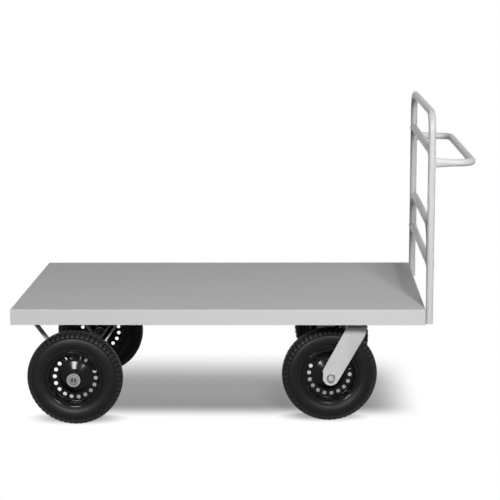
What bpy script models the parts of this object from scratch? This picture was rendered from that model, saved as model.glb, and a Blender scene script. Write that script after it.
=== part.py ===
"""Platform cart with an upright tube frame, a push loop and four pneumatic wheels.

Metres. +X runs from the fixed-axle end to the handle end, +Y from the near side to the far
side and +Z up. The origin is the centre of the bounding box, at floor level.
"""

import math

import bmesh
import bpy
from mathutils import Matrix, Vector
from mathutils.geometry import tessellate_polygon

# Driving dimensions
OVERALL_LENGTH = 1.896
DECK_LENGTH = 1.700
DECK_WIDTH = 0.950
DECK_TOP = 0.509
SKIRT_DEPTH = 0.065
SHEET = 0.0025
WHEEL_RADIUS = 0.200
TYRE_HALF_WIDTH = 0.050
FIXED_AXLE_INSET = 0.248
FIXED_WHEEL_INSET = 0.078
SWIVEL_END_INSET = 0.280
SWIVEL_SIDE_INSET = 0.150
CASTOR_TRAIL = 0.108
NEAR_SWIVEL = math.radians(5.0)
FAR_SWIVEL = math.radians(-38.0)
FAR_TYRE_OVERHANG = 0.0597
FRAME_TUBE_RADIUS = 0.015
PUSH_TUBE_RADIUS = 0.015
TUBE_WALL = 0.002

# Clearance left between pieces that touch, run on each other or are welded
GAP = 0.0003

# Numbers of sides of the round pieces
WHEEL_SIDES = 32
TUBE_SIDES = 12
SMALL_SIDES = 16

# A wheel's first corner, so that it stands on a flat
WHEEL_START = math.pi / WHEEL_SIDES

# Places worked out from the driving dimensions
DECK_LEFT = -OVERALL_LENGTH / 2
DECK_RIGHT = DECK_LEFT + DECK_LENGTH
HALF_WIDTH = DECK_WIDTH / 2
FIXED_AXLE_X = DECK_LEFT + FIXED_AXLE_INSET
FIXED_WHEEL_Y = HALF_WIDTH - FIXED_WHEEL_INSET
SWIVEL_X = DECK_RIGHT - SWIVEL_END_INSET
SWIVEL_Y = HALF_WIDTH - SWIVEL_SIDE_INSET
POST_X = DECK_RIGHT + GAP + FRAME_TUBE_RADIUS
POST_Y = HALF_WIDTH - FRAME_TUBE_RADIUS

# Under-deck frame, all of box section
BEAM_HEIGHT = 0.060
BEAM_WIDTH = 0.050
BEAM_WALL = 0.002
BEAM_TOP = DECK_TOP - SHEET - GAP
BEAM_BOTTOM = BEAM_TOP - BEAM_HEIGHT
RAIL_Y = 0.318
CROSS_MEMBER_INSETS = {"cross_member_axle": 0.430, "cross_member_middle": 0.900}
CASTOR_BEAM_SPACING = 0.100
FOLD_RADIUS = 0.0035
INSIDE = SHEET + 0.0012

# Handle frame
HOOP_TOP = 1.3045
HOOP_BOTTOM = 0.448
HOOP_BEND = 0.075
UPPER_TUBE_Z = 1.149
INNER_HOOP_TOP = 0.846
INNER_HOOP_BEND = 0.085
LOWER_TUBE_Z = 0.691
PUSH_LOOP_Z = 1.108
PUSH_LOOP_BEND = 0.060
PUSH_LOOP_X = OVERALL_LENGTH / 2 - PUSH_TUBE_RADIUS
FLATTENED_LENGTH = 0.075
FLATTENED_HEIGHT = 1.27
FLATTENED_WIDTH = 0.55

# Hub, bearings and axles
HUB_HALF = 0.046
HUB_RADIUS = 0.029
BEARING_RADIUS = 0.0235
BEARING_WIDTH = 0.014
AXLE_RADIUS = 0.010
AXLE_BAR_RADIUS = 0.014
AXLE_SCREW_RADIUS = 0.005
AXLE_SCREW_DEPTH = 0.022
SCREW_HEAD_RADIUS = 0.0098

# Axle strap, a flat bar bent to a V under the axle
STRAP_WIDTH = 0.040
STRAP_THICKNESS = 0.008
STRAP_HALF_ANGLE = math.radians(35.5)

# Castor
PLATE_THICKNESS = 0.008
PLATE_HALF_LENGTH = 0.078
PLATE_HALF_WIDTH = 0.060
PLATE_TOP = BEAM_BOTTOM - GAP
PLATE_BOTTOM = PLATE_TOP - PLATE_THICKNESS
CROWN_TOP = 0.418
FORK_THICKNESS = 0.008
FORK_INNER_HALF = 0.058
FORK_OUTER_HALF = FORK_INNER_HALF + FORK_THICKNESS
KING_PIN_RADIUS = 0.010
KING_PIN_HEAD = 0.017
BOLT_ACROSS_FLATS = 0.030
BOLT_HEAD_HEIGHT = 0.0125
NUT_HEIGHT = 0.016

# Rim, with the angle at which each wheel's ring of holes happens to stand
HOLE_COUNT = 18
HOLE_RING = 0.086
HOLE_RADIUS = 0.0083
HOLE_SIDES = 8
NEAR_FIXED_TURN = math.radians(17.88)
FAR_FIXED_TURN = math.radians(11.01)
NEAR_CASTOR_TURN = math.radians(16.05)
FAR_CASTOR_TURN = math.radians(6.0)
FIXED_VALVE = math.radians(18.0)
CASTOR_VALVE = math.radians(32.0)
VALVE_OFFSET = 0.0125
VALVE_HOLE = 0.0062


def finish(name, colour, roughness, metallic):
    """Principled material with one colour."""
    material = bpy.data.materials.new(name)
    material.use_nodes = True
    shader = material.node_tree.nodes["Principled BSDF"]
    shader.inputs["Base Color"].default_value = (*colour, 1.0)
    shader.inputs["Roughness"].default_value = roughness
    shader.inputs["Metallic"].default_value = metallic
    return material


def closed_object(name, bm, material, parent=None):
    """Link a bmesh as one object, faces outward, round parts smooth."""
    bmesh.ops.recalc_face_normals(bm, faces=bm.faces)
    mesh = bpy.data.meshes.new(name)
    bm.to_mesh(mesh)
    bm.free()
    mesh.materials.append(material)
    mesh.shade_smooth()
    mesh.set_sharp_from_angle(angle=math.radians(35.0))
    obj = bpy.data.objects.new(name, mesh)
    bpy.context.scene.collection.objects.link(obj)
    obj.parent = parent
    return obj


def pivot(name, location, turn=0.0, parent=None):
    """Empty on a joint's axis, which carries what turns about it."""
    empty = bpy.data.objects.new(name, None)
    empty.location = location
    empty.rotation_euler = (0.0, 0.0, turn)
    empty.parent = parent
    bpy.context.scene.collection.objects.link(empty)
    return empty


def cut(obj, bm, operation="DIFFERENCE"):
    """Boolean against a hidden cutter made from a bmesh."""
    bmesh.ops.recalc_face_normals(bm, faces=bm.faces)
    mesh = bpy.data.meshes.new(obj.name + "_cutter")
    bm.to_mesh(mesh)
    bm.free()
    cutter = bpy.data.objects.new(mesh.name, mesh)
    cutter.parent = obj.parent
    cutter.hide_render = True
    cutter.display_type = "WIRE"
    bpy.context.scene.collection.objects.link(cutter)
    modifier = obj.modifiers.new("cut", "BOOLEAN")
    modifier.operation = operation
    modifier.object = cutter


def around(centre, radius, sides, start=0.0):
    """Points of a regular polygon in a plane, as (across, up)."""
    across, up = centre
    turns = [start + math.tau * k / sides for k in range(sides)]
    return [(across + radius * math.cos(a), up + radius * math.sin(a)) for a in turns]


def flats_at(radius, sides):
    """Corner radius of a polygon whose flats lie at the given radius, as a hole needs."""
    return radius / math.cos(math.pi / sides)


def arc(centre, radius, first, last, steps):
    """Points on an arc in a plane, both ends included."""
    across, up = centre
    angles = [first + (last - first) * k / steps for k in range(steps + 1)]
    return [(across + radius * math.cos(a), up + radius * math.sin(a)) for a in angles]


def bridge(bm, ring_a, ring_b):
    """Join two rings, or a ring and a pole, with faces."""
    if len(ring_a) == 1 and len(ring_b) == 1:
        return
    count = max(len(ring_a), len(ring_b))
    for k in range(count):
        following = (k + 1) % count
        corners = [ring_a[k % len(ring_a)], ring_a[following % len(ring_a)]]
        corners += [ring_b[following % len(ring_b)], ring_b[k % len(ring_b)]]
        bm.faces.new(list(dict.fromkeys(corners)))


def turned(profile, sides, upright=False, start=0.0):
    """Closed body turned about Y, or about Z when upright, from (radius, along) points."""
    bm = bmesh.new()
    rings = []
    for radius, along in profile:
        points = around((0.0, 0.0), radius, sides, start) if radius else [(0.0, 0.0)]
        if upright:
            rings.append([bm.verts.new((x, y, along)) for x, y in points])
        else:
            rings.append([bm.verts.new((x, along, z)) for x, z in points])
    for ring_a, ring_b in zip(rings, rings[1:] + rings[:1]):
        bridge(bm, ring_a, ring_b)
    return bm


def cylinder(radius, low, high, sides, upright=False):
    """Solid cylinder along Y, or along Z when upright."""
    return turned([(0.0, low), (radius, low), (radius, high), (0.0, high)], sides, upright)


def slab(outline, holes, low, high):
    """Outline in X and Z with holes, extruded along Y from low to high."""
    bm = bmesh.new()
    loops = [outline] + holes
    triangles = tessellate_polygon([[Vector((x, z, 0.0)) for x, z in loop] for loop in loops])
    sides = []
    for along in (low, high):
        sides.append([[bm.verts.new((x, along, z)) for x, z in loop] for loop in loops])
        flat = [vert for loop in sides[-1] for vert in loop]
        for corners in triangles:
            bm.faces.new([flat[k] for k in corners])
    for loop_a, loop_b in zip(*sides):
        bridge(bm, loop_a, loop_b)
    return bm


def box(low, high):
    """Solid box between two corners."""
    bm = bmesh.new()
    bmesh.ops.create_cube(bm, size=1.0)
    size = Vector(high) - Vector(low)
    middle = (Vector(high) + Vector(low)) / 2
    bm.transform(Matrix.Translation(middle) @ Matrix.Diagonal((*size, 1.0)))
    return bm


def box_section(low, high, along, wall):
    """Rectangular tube between two corners, open along axis 0 for X or 1 for Y."""
    bm = bmesh.new()
    side = 1 - along
    ends = []
    for end in (low[along], high[along]):
        rings = []
        for inset in (0.0, wall):
            left, right = low[side] + inset, high[side] - inset
            bottom, top = low[2] + inset, high[2] - inset
            ring = []
            for across, up in ((left, bottom), (right, bottom), (right, top), (left, top)):
                point = Vector((0.0, 0.0, up))
                point[along] = end
                point[side] = across
                ring.append(bm.verts.new(point))
            rings.append(ring)
        ends.append(rings)
    (outer_a, inner_a), (outer_b, inner_b) = ends
    for ring_a, ring_b in ((outer_a, outer_b), (outer_b, inner_b), (inner_b, inner_a), (inner_a, outer_a)):
        bridge(bm, ring_a, ring_b)
    return bm


def bent_path(corners, bend, steps):
    """Centre line through right-angled corners, each rounded with a bend."""
    points = [corners[0]]
    for before, corner, after in zip(corners, corners[1:], corners[2:]):
        inward = (corner - before).normalized()
        outward = (after - corner).normalized()
        centre = corner + (outward - inward) * bend
        for across, along in arc((0.0, 0.0), bend, 0.0, math.pi / 2, steps):
            points.append(centre - outward * across + inward * along)
    points.append(corners[-1])
    return points


def bent_tube(path, normal, radius, shape=None):
    """Open-ended tube along a path in the plane of a normal; shape gives its squeeze."""
    bm = bmesh.new()
    outer, inner = [], []
    for k, point in enumerate(path):
        before = path[max(k - 1, 0)]
        after = path[min(k + 1, len(path) - 1)]
        across = (after - before).normalized().cross(normal)
        wide, high = shape(point) if shape else (1.0, 1.0)
        for rings, size in ((outer, radius), (inner, radius - TUBE_WALL)):
            trim = radius - size
            ring = []
            for a, n in around((0.0, 0.0), 1.0, TUBE_SIDES):
                offset = across * a * (radius * wide - trim) + normal * n * (radius * high - trim)
                ring.append(bm.verts.new(point + offset))
            rings.append(ring)
    for rings in (outer, inner):
        for ring_a, ring_b in zip(rings, rings[1:]):
            bridge(bm, ring_a, ring_b)
    for k in (0, -1):
        bridge(bm, outer[k], inner[k])
    return bm


def hex_ring(bm, across_flats, along, sides):
    """Hexagon with extra points on its flats, so that it joins a ring of twelve sides."""
    corner = across_flats / math.sqrt(3.0)
    ring = []
    for k in range(sides):
        radius = corner if k % 2 == 0 else across_flats / 2
        angle = math.tau * k / sides
        ring.append(bm.verts.new((radius * math.cos(angle), along, radius * math.sin(angle))))
    return ring


def round_ring(bm, radius, along, sides):
    """Ring of points about Y."""
    return [bm.verts.new((x, along, z)) for x, z in around((0.0, 0.0), radius, sides)]


def hex_bolt(tip, under_head, head_end, radius):
    """Hexagon-headed bolt along Y."""
    bm = bmesh.new()
    rings = [[bm.verts.new((0.0, tip, 0.0))]]
    rings.append(round_ring(bm, radius, tip, TUBE_SIDES))
    rings.append(round_ring(bm, radius, under_head, TUBE_SIDES))
    rings.append(hex_ring(bm, BOLT_ACROSS_FLATS, under_head, TUBE_SIDES))
    rings.append(hex_ring(bm, BOLT_ACROSS_FLATS, head_end, TUBE_SIDES))
    rings.append([bm.verts.new((0.0, head_end, 0.0))])
    for ring_a, ring_b in zip(rings, rings[1:]):
        bridge(bm, ring_a, ring_b)
    return bm


def hex_nut(low, high, bore):
    """Hexagon nut along Y."""
    bm = bmesh.new()
    rings = [round_ring(bm, bore, low, TUBE_SIDES), hex_ring(bm, BOLT_ACROSS_FLATS, low, TUBE_SIDES)]
    rings += [hex_ring(bm, BOLT_ACROSS_FLATS, high, TUBE_SIDES), round_ring(bm, bore, high, TUBE_SIDES)]
    for ring_a, ring_b in zip(rings, rings[1:] + rings[:1]):
        bridge(bm, ring_a, ring_b)
    return bm


def build_deck(paint):
    """Folded sheet tray: a top with four skirts, open underneath."""
    bm = box((DECK_LEFT, -HALF_WIDTH, DECK_TOP - SKIRT_DEPTH), (DECK_RIGHT, HALF_WIDTH, DECK_TOP))
    bottom = [face for face in bm.faces if face.normal.z < -0.5]
    bmesh.ops.delete(bm, geom=bottom, context="FACES")
    folds = [edge for edge in bm.edges if all(vert.co.z > DECK_TOP - SHEET for vert in edge.verts)]
    bmesh.ops.bevel(bm, geom=folds, offset=FOLD_RADIUS, segments=2, profile=0.5, affect="EDGES")
    deck = closed_object("deck_tray", bm, paint)
    wall = deck.modifiers.new("wall", "SOLIDIFY")
    wall.thickness = SHEET
    wall.offset = -1.0
    wall.use_even_offset = True


def build_beams(paint):
    """Rails, cross members, castor beams and end beam under the sheet."""
    half = BEAM_WIDTH / 2
    castor_beam_xs = [SWIVEL_X - CASTOR_BEAM_SPACING / 2, SWIVEL_X + CASTOR_BEAM_SPACING / 2]
    rail_start = DECK_LEFT + INSIDE
    rail_end = castor_beam_xs[0] - half - GAP
    for side, name in ((-1, "rail_near"), (1, "rail_far")):
        middle = side * RAIL_Y
        low = (rail_start, middle - half, BEAM_BOTTOM)
        high = (rail_end, middle + half, BEAM_TOP)
        closed_object(name, box_section(low, high, 0, BEAM_WALL), paint)
    reaches = {name: (DECK_LEFT + inset, RAIL_Y - half - GAP) for name, inset in CROSS_MEMBER_INSETS.items()}
    full = HALF_WIDTH - INSIDE
    reaches["castor_beam_inner"] = (castor_beam_xs[0], full)
    reaches["castor_beam_outer"] = (castor_beam_xs[1], full)
    reaches["end_beam"] = (DECK_RIGHT - INSIDE - half, full)
    for name, (x, reach) in reaches.items():
        low = (x - half, -reach, BEAM_BOTTOM)
        high = (x + half, reach, BEAM_TOP)
        closed_object(name, box_section(low, high, 1, BEAM_WALL), paint)


def post_cutter(side):
    """Cylinder that copes a tube's end to a post."""
    radius = flats_at(FRAME_TUBE_RADIUS + GAP, SMALL_SIDES)
    bm = cylinder(radius, HOOP_BOTTOM, HOOP_TOP, SMALL_SIDES, upright=True)
    bm.transform(Matrix.Translation((POST_X, side * POST_Y, 0.0)))
    return bm


def build_handle(paint):
    """Bent hoop, cross tubes, arched inner hoop and push loop, all welded together."""
    along_x = Vector((1.0, 0.0, 0.0))
    along_z = Vector((0.0, 0.0, 1.0))

    def arch(half_span, bottom, top, bend, steps):
        corners = [(-half_span, bottom), (-half_span, top), (half_span, top), (half_span, bottom)]
        return bent_path([Vector((POST_X, y, z)) for y, z in corners], bend, steps)

    hoop = arch(POST_Y, HOOP_BOTTOM, HOOP_TOP, HOOP_BEND, 5)
    closed_object("handle_hoop", bent_tube(hoop, along_x, FRAME_TUBE_RADIUS), paint)

    for name, z in (("upper_cross_tube", UPPER_TUBE_Z), ("lower_cross_tube", LOWER_TUBE_Z)):
        path = [Vector((POST_X, -POST_Y, z)), Vector((POST_X, POST_Y, z))]
        tube = closed_object(name, bent_tube(path, along_x, FRAME_TUBE_RADIUS), paint)
        for side in (-1, 1):
            cut(tube, post_cutter(side))

    leg_y = POST_Y - 2 * FRAME_TUBE_RADIUS - GAP
    inner = arch(leg_y, LOWER_TUBE_Z, INNER_HOOP_TOP, INNER_HOOP_BEND, 6)
    inner_hoop = closed_object("inner_hoop", bent_tube(inner, along_x, FRAME_TUBE_RADIUS), paint)
    saddle = cylinder(flats_at(FRAME_TUBE_RADIUS + GAP, SMALL_SIDES), -HALF_WIDTH, HALF_WIDTH, SMALL_SIDES)
    saddle.transform(Matrix.Translation((POST_X, 0.0, LOWER_TUBE_Z)))
    cut(inner_hoop, saddle)

    def flattening(point):
        reach = point.x - POST_X - FRAME_TUBE_RADIUS
        share = 1.0 - min(max(reach / FLATTENED_LENGTH, 0.0), 1.0)
        share = share * share * (3.0 - 2.0 * share)
        return 1.0 + (FLATTENED_WIDTH - 1.0) * share, 1.0 + (FLATTENED_HEIGHT - 1.0) * share

    corners = [(POST_X, -POST_Y), (PUSH_LOOP_X, -POST_Y), (PUSH_LOOP_X, POST_Y), (POST_X, POST_Y)]
    path = bent_path([Vector((x, y, PUSH_LOOP_Z)) for x, y in corners], PUSH_LOOP_BEND, 5)
    steps = [FRAME_TUBE_RADIUS + FLATTENED_LENGTH * share for share in (0.0, 0.25, 0.5, 0.75, 1.0)]
    path[1:1] = [path[0] + along_x * step for step in steps]
    path[-1:-1] = [path[-1] + along_x * step for step in reversed(steps)]
    loop = closed_object("push_loop", bent_tube(path, along_z, PUSH_TUBE_RADIUS, flattening), paint)
    for side in (-1, 1):
        cut(loop, post_cutter(side))


def build_fixed_axle(steel, paint):
    """Through axle, the straps that carry it, its washers and screws."""
    carrier = pivot("fixed_axle_line", (FIXED_AXLE_X, 0.0, WHEEL_RADIUS))
    end = FIXED_WHEEL_Y + HUB_HALF
    shoulder = FIXED_WHEEL_Y - HUB_HALF - GAP
    tapped = end - AXLE_SCREW_DEPTH
    bore = AXLE_SCREW_RADIUS + GAP
    half = [(0.0, tapped), (bore, tapped), (bore, end), (AXLE_RADIUS, end)]
    half += [(AXLE_RADIUS, shoulder), (AXLE_BAR_RADIUS, shoulder)]
    profile = half + [(radius, -along) for radius, along in reversed(half)]
    closed_object("fixed_axle", turned(profile, SMALL_SIDES), steel, carrier)

    inner = AXLE_BAR_RADIUS + GAP
    outer = inner + STRAP_THICKNESS
    top = BEAM_BOTTOM - GAP - WHEEL_RADIUS
    slope = STRAP_HALF_ANGLE

    def leg_top(distance):
        return distance / math.cos(slope) + top * math.tan(slope)

    below = [(x, z) for x, z in arc((0.0, 0.0), outer, -slope, slope - math.pi, 6)]
    above = [(x, z) for x, z in arc((0.0, 0.0), inner, slope - math.pi, -slope, 6)]
    outline = [(leg_top(outer), top)] + below + [(-leg_top(outer), top)]
    outline += [(-leg_top(inner), top)] + above + [(leg_top(inner), top)]
    for side, name in ((-1, "axle_strap_near"), (1, "axle_strap_far")):
        middle = side * RAIL_Y
        strap = slab(outline, [], middle - STRAP_WIDTH / 2, middle + STRAP_WIDTH / 2)
        closed_object(name, strap, paint, carrier)

    face = end + GAP
    for side, label in ((-1, "near"), (1, "far")):
        step = 0.0065
        seat = 0.0020
        washer = [(flats_at(bore, SMALL_SIDES), face), (HUB_RADIUS, face), (HUB_RADIUS, face + 0.004)]
        washer += [(HUB_RADIUS - 0.001, face + 0.005), (0.0195, face + 0.005), (0.0175, face + step)]
        head_hole = flats_at(SCREW_HEAD_RADIUS + GAP, SMALL_SIDES)
        washer += [(head_hole, face + step), (head_hole, face + seat)]
        washer += [(flats_at(bore, SMALL_SIDES), face + seat)]
        profile = [(radius, side * along) for radius, along in washer]
        closed_object("axle_washer_" + label, turned(profile, SMALL_SIDES), steel, carrier)

        head_seat = face + seat + GAP
        tip = tapped + GAP
        screw = [(0.0, tip), (AXLE_SCREW_RADIUS, tip), (AXLE_SCREW_RADIUS, head_seat)]
        screw += [(SCREW_HEAD_RADIUS, head_seat), (SCREW_HEAD_RADIUS, face + step - 0.0008)]
        screw += [(0.0, face + step - 0.0008)]
        profile = [(radius, side * along) for radius, along in screw]
        closed_object("axle_screw_" + label, turned(profile, SMALL_SIDES), steel, carrier)


def tyre_profile():
    """Tyre section: crown, shoulders, sidewalls, beads and the hollow within."""
    crown = flats_at(WHEEL_RADIUS, WHEEL_SIDES)
    half = [(crown, 0.012), (0.1925, 0.032), (0.175, 0.0455), (0.150, TYRE_HALF_WIDTH)]
    half += [(0.127, 0.0455), (0.1074, 0.0330), (0.1074, 0.0230), (0.146, 0.041), (0.186, 0.025)]
    return half + [(radius, -along) for radius, along in reversed(half)]


def build_rim(name, paint, centre, side, phase, valve_turn):
    """Pressed rim: barrel with sloping flanges and a dished disc with a ring of holes."""
    lip = (0.1200, 0.0416)
    seat = (0.1070, 0.0333)
    lip_back = (0.1200, 0.0445)
    barrel_inner = 0.1045
    half_disc = 0.00125
    cone_foot = 0.070
    cone_top = HUB_RADIUS + GAP
    dish = 0.0165

    bm = bmesh.new()

    def ring(radius, along, sides=WHEEL_SIDES, start=WHEEL_START):
        points = around((0.0, 0.0), radius, sides, start)
        return [bm.verts.new((x, side * along, z)) for x, z in points]

    outside = [ring(*lip), ring(*seat), ring(seat[0], -seat[1]), ring(lip[0], -lip[1])]
    rear = [ring(lip_back[0], -lip_back[1]), ring(barrel_inner, -0.0350), ring(barrel_inner, -half_disc)]
    front = [ring(barrel_inner, half_disc), ring(barrel_inner, 0.0350), ring(*lip_back)]
    for ring_a, ring_b in zip(outside, outside[1:]):
        bridge(bm, ring_a, ring_b)
    bridge(bm, outside[-1], rear[0])
    bridge(bm, front[-1], outside[0])
    for rings in (rear, front):
        for ring_a, ring_b in zip(rings, rings[1:]):
            bridge(bm, ring_a, ring_b)

    turns = [phase + math.tau * k / HOLE_COUNT for k in range(HOLE_COUNT)]
    centres = [(HOLE_RING * math.cos(a), HOLE_RING * math.sin(a)) for a in turns]
    faces_of_disc = []
    for outer_ring, along in ((rear[-1], -half_disc), (front[0], half_disc)):
        foot = ring(cone_foot, along, SMALL_SIDES, 0.0)
        holes = []
        for x, z in centres:
            corners = around((x, z), HOLE_RADIUS, HOLE_SIDES)
            holes.append([bm.verts.new((u, side * along, w)) for u, w in corners])
        loops = [outer_ring, foot] + holes
        outlines = [[Vector((vert.co.x, vert.co.z, 0.0)) for vert in loop] for loop in loops]
        flat = [vert for loop in loops for vert in loop]
        for corners in tessellate_polygon(outlines):
            bm.faces.new([flat[k] for k in corners])
        faces_of_disc.append((foot, holes))
    (rear_foot, rear_holes), (front_foot, front_holes) = faces_of_disc
    for hole_a, hole_b in zip(rear_holes, front_holes):
        bridge(bm, hole_a, hole_b)
    cone = flats_at(cone_top, SMALL_SIDES)
    front_edge = ring(cone, dish + half_disc, SMALL_SIDES, 0.0)
    rear_edge = ring(cone, dish - half_disc, SMALL_SIDES, 0.0)
    bridge(bm, front_foot, front_edge)
    bridge(bm, front_edge, rear_edge)
    bridge(bm, rear_edge, rear_foot)
    rim = closed_object(name, bm, paint, centre)

    drill = cylinder(VALVE_HOLE, barrel_inner - 0.010, barrel_inner + 0.010, HOLE_SIDES, upright=True)
    drill.transform(Matrix.Rotation(valve_turn, 4, "Y") @ Matrix.Translation((0.0, side * VALVE_OFFSET, 0.0)))
    cut(rim, drill)


def build_wheel(label, centre, side, phase, valve_turn, finishes):
    """Tyre, rim, hub, two bearings and valve about the pivot; side is the outboard way."""
    tyre = turned(tyre_profile(), WHEEL_SIDES, start=WHEEL_START)
    closed_object("tyre_" + label, tyre, finishes["rubber"], centre)
    build_rim("rim_" + label, finishes["rim"], centre, side, phase, valve_turn)

    bore = flats_at(BEARING_RADIUS + GAP, SMALL_SIDES)
    hub = [(bore, -HUB_HALF), (bore, HUB_HALF), (HUB_RADIUS, HUB_HALF), (HUB_RADIUS, -HUB_HALF)]
    closed_object("hub_" + label, turned(hub, SMALL_SIDES), finishes["hub"], centre)

    shaft = flats_at(AXLE_RADIUS + GAP, SMALL_SIDES)
    for end, place in ((1, "outer"), (-1, "inner")):
        faces = (side * end * (HUB_HALF - 0.0005), side * end * (HUB_HALF - 0.0005 - BEARING_WIDTH))
        ball = [(radius, along) for along in faces for radius in (shaft, BEARING_RADIUS)]
        ball[2:] = reversed(ball[2:])
        name = "bearing_" + label + "_" + place
        closed_object(name, turned(ball, SMALL_SIDES), finishes["steel"], centre)

    stem = [(0.0, 0.1105), (0.0080, 0.1105), (0.0080, 0.1076), (0.0055, 0.1075), (0.0050, 0.0920)]
    stem += [(0.0044, 0.0910), (0.0044, 0.0780), (0.0, 0.0780)]
    valve = turned(stem, HOLE_SIDES, upright=True)
    valve.transform(Matrix.Rotation(valve_turn, 4, "Y") @ Matrix.Translation((0.0, side * VALVE_OFFSET, 0.0)))
    closed_object("valve_" + label, valve, finishes["rubber"], centre)


def fork_body():
    """Fork leg outline seen from the side, extruded across the whole fork."""
    lower = 0.034
    rake = math.radians(30.0)
    crown_half = 0.040
    axle = (-CASTOR_TRAIL, WHEEL_RADIUS)
    outline = arc(axle, lower, math.pi, math.tau - rake, 8)
    foot = Vector(outline[-1])
    climb = Vector((math.sin(rake), math.cos(rake)))
    turn_in = foot + climb * ((crown_half - 0.010 - foot.x) / climb.x)
    outline.append(tuple(turn_in))
    outline.append((crown_half - 0.003, turn_in.y + 0.018))
    outline.append((crown_half, turn_in.y + 0.036))
    outline += [(crown_half, CROWN_TOP), (-crown_half, CROWN_TOP)]
    shoulder_rise = (-crown_half - axle[0] + lower) / math.tan(rake)
    outline.append((axle[0] - lower, CROWN_TOP - 0.008 - shoulder_rise))
    return slab(outline, [], -FORK_OUTER_HALF, FORK_OUTER_HALF)


def fork_section():
    """Inverted U seen along the fork, with rounded folds, extruded fore and aft."""
    outer_fold, inner_fold = 0.012, 0.004
    bottom = 0.100
    crown_under = CROWN_TOP - FORK_THICKNESS
    outline = [(FORK_OUTER_HALF, bottom)]
    for half, top, fold, order in (
        (FORK_OUTER_HALF, CROWN_TOP, outer_fold, 1),
        (FORK_INNER_HALF, crown_under, inner_fold, -1),
    ):
        right = arc((half - fold, top - fold), fold, 0.0, math.pi / 2, 3)
        left = [(-x, z) for x, z in reversed(right)]
        if order < 0:
            outline += [(-FORK_OUTER_HALF, bottom), (-FORK_INNER_HALF, bottom)]
        outline += (right + left)[::order]
    outline.append((FORK_INNER_HALF, bottom))
    bm = slab(outline, [], -0.3, 0.3)
    bm.transform(Matrix.Rotation(math.pi / 2, 4, "Z"))
    return bm


def build_castor(label, y, side, swivel, phase, finishes):
    """Plate, race and king pin on the frame; fork, axle and wheel that swivel."""
    head = pivot("swivel_line_" + label, (SWIVEL_X, y, 0.0))
    pin_hole = flats_at(KING_PIN_RADIUS + GAP, TUBE_SIDES)

    corners = [(-PLATE_HALF_LENGTH, -PLATE_HALF_WIDTH), (PLATE_HALF_LENGTH, -PLATE_HALF_WIDTH)]
    corners += [(PLATE_HALF_LENGTH, PLATE_HALF_WIDTH), (-PLATE_HALF_LENGTH, PLATE_HALF_WIDTH)]
    plate = slab(corners, [around((0.0, 0.0), pin_hole, TUBE_SIDES)], PLATE_BOTTOM, PLATE_TOP)
    plate.transform(Matrix(((1, 0, 0, 0), (0, 0, 1, 0), (0, 1, 0, 0), (0, 0, 0, 1))))
    closed_object("castor_plate_" + label, plate, finishes["paint"], head)

    low, high = CROWN_TOP + GAP, PLATE_BOTTOM - GAP
    middle = (low + high) / 2
    race = [(0.024, low), (0.044, low), (0.046, low + 0.006), (0.043, middle)]
    race += [(0.046, high - 0.006), (0.044, high), (0.024, high)]
    closed_object("castor_race_" + label, turned(race, SMALL_SIDES, upright=True), finishes["steel"], head)

    under = CROWN_TOP - FORK_THICKNESS - GAP
    pin = [(0.0, under - 0.009), (KING_PIN_HEAD, under - 0.009), (KING_PIN_HEAD, under)]
    pin += [(KING_PIN_RADIUS, under), (KING_PIN_RADIUS, PLATE_TOP + GAP), (KING_PIN_HEAD, PLATE_TOP + GAP)]
    pin += [(KING_PIN_HEAD, PLATE_TOP + 0.010), (0.0, PLATE_TOP + 0.010)]
    closed_object("king_pin_" + label, turned(pin, TUBE_SIDES, upright=True), finishes["steel"], head)

    swing = pivot("fork_line_" + label, (0.0, 0.0, 0.0), swivel, head)
    fork = closed_object("fork_" + label, fork_body(), finishes["galvanised"], swing)
    cut(fork, fork_section(), "INTERSECT")
    cut(fork, cylinder(pin_hole, CROWN_TOP - 0.020, CROWN_TOP + 0.010, TUBE_SIDES, upright=True))
    drill = cylinder(flats_at(AXLE_RADIUS + GAP, TUBE_SIDES), -0.1, 0.1, TUBE_SIDES)
    drill.transform(Matrix.Translation((-CASTOR_TRAIL, 0.0, WHEEL_RADIUS)))
    cut(fork, drill)

    centre = pivot("wheel_line_" + label, (-CASTOR_TRAIL, 0.0, WHEEL_RADIUS), 0.0, swing)
    outer = FORK_OUTER_HALF + GAP
    bolt_tip = outer + NUT_HEIGHT + 0.004
    bolt = hex_bolt(-side * bolt_tip, side * outer, side * (outer + BOLT_HEAD_HEIGHT), AXLE_RADIUS)
    closed_object("castor_axle_bolt_" + label, bolt, finishes["steel"], centre)
    nut = hex_nut(-side * outer, -side * (outer + NUT_HEIGHT), flats_at(AXLE_RADIUS + GAP, TUBE_SIDES))
    closed_object("castor_axle_nut_" + label, nut, finishes["steel"], centre)
    spacer_bore = flats_at(AXLE_RADIUS + GAP, TUBE_SIDES)
    for end, place in ((1, "outer"), (-1, "inner")):
        inside, outside = side * end * (HUB_HALF + GAP), side * end * (FORK_INNER_HALF - GAP)
        spacer = [(spacer_bore, inside), (0.015, inside), (0.015, outside), (spacer_bore, outside)]
        name = "castor_spacer_" + label + "_" + place
        closed_object(name, turned(spacer, TUBE_SIDES), finishes["steel"], centre)
    build_wheel("castor_" + label, centre, side, phase, CASTOR_VALVE, finishes)


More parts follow.
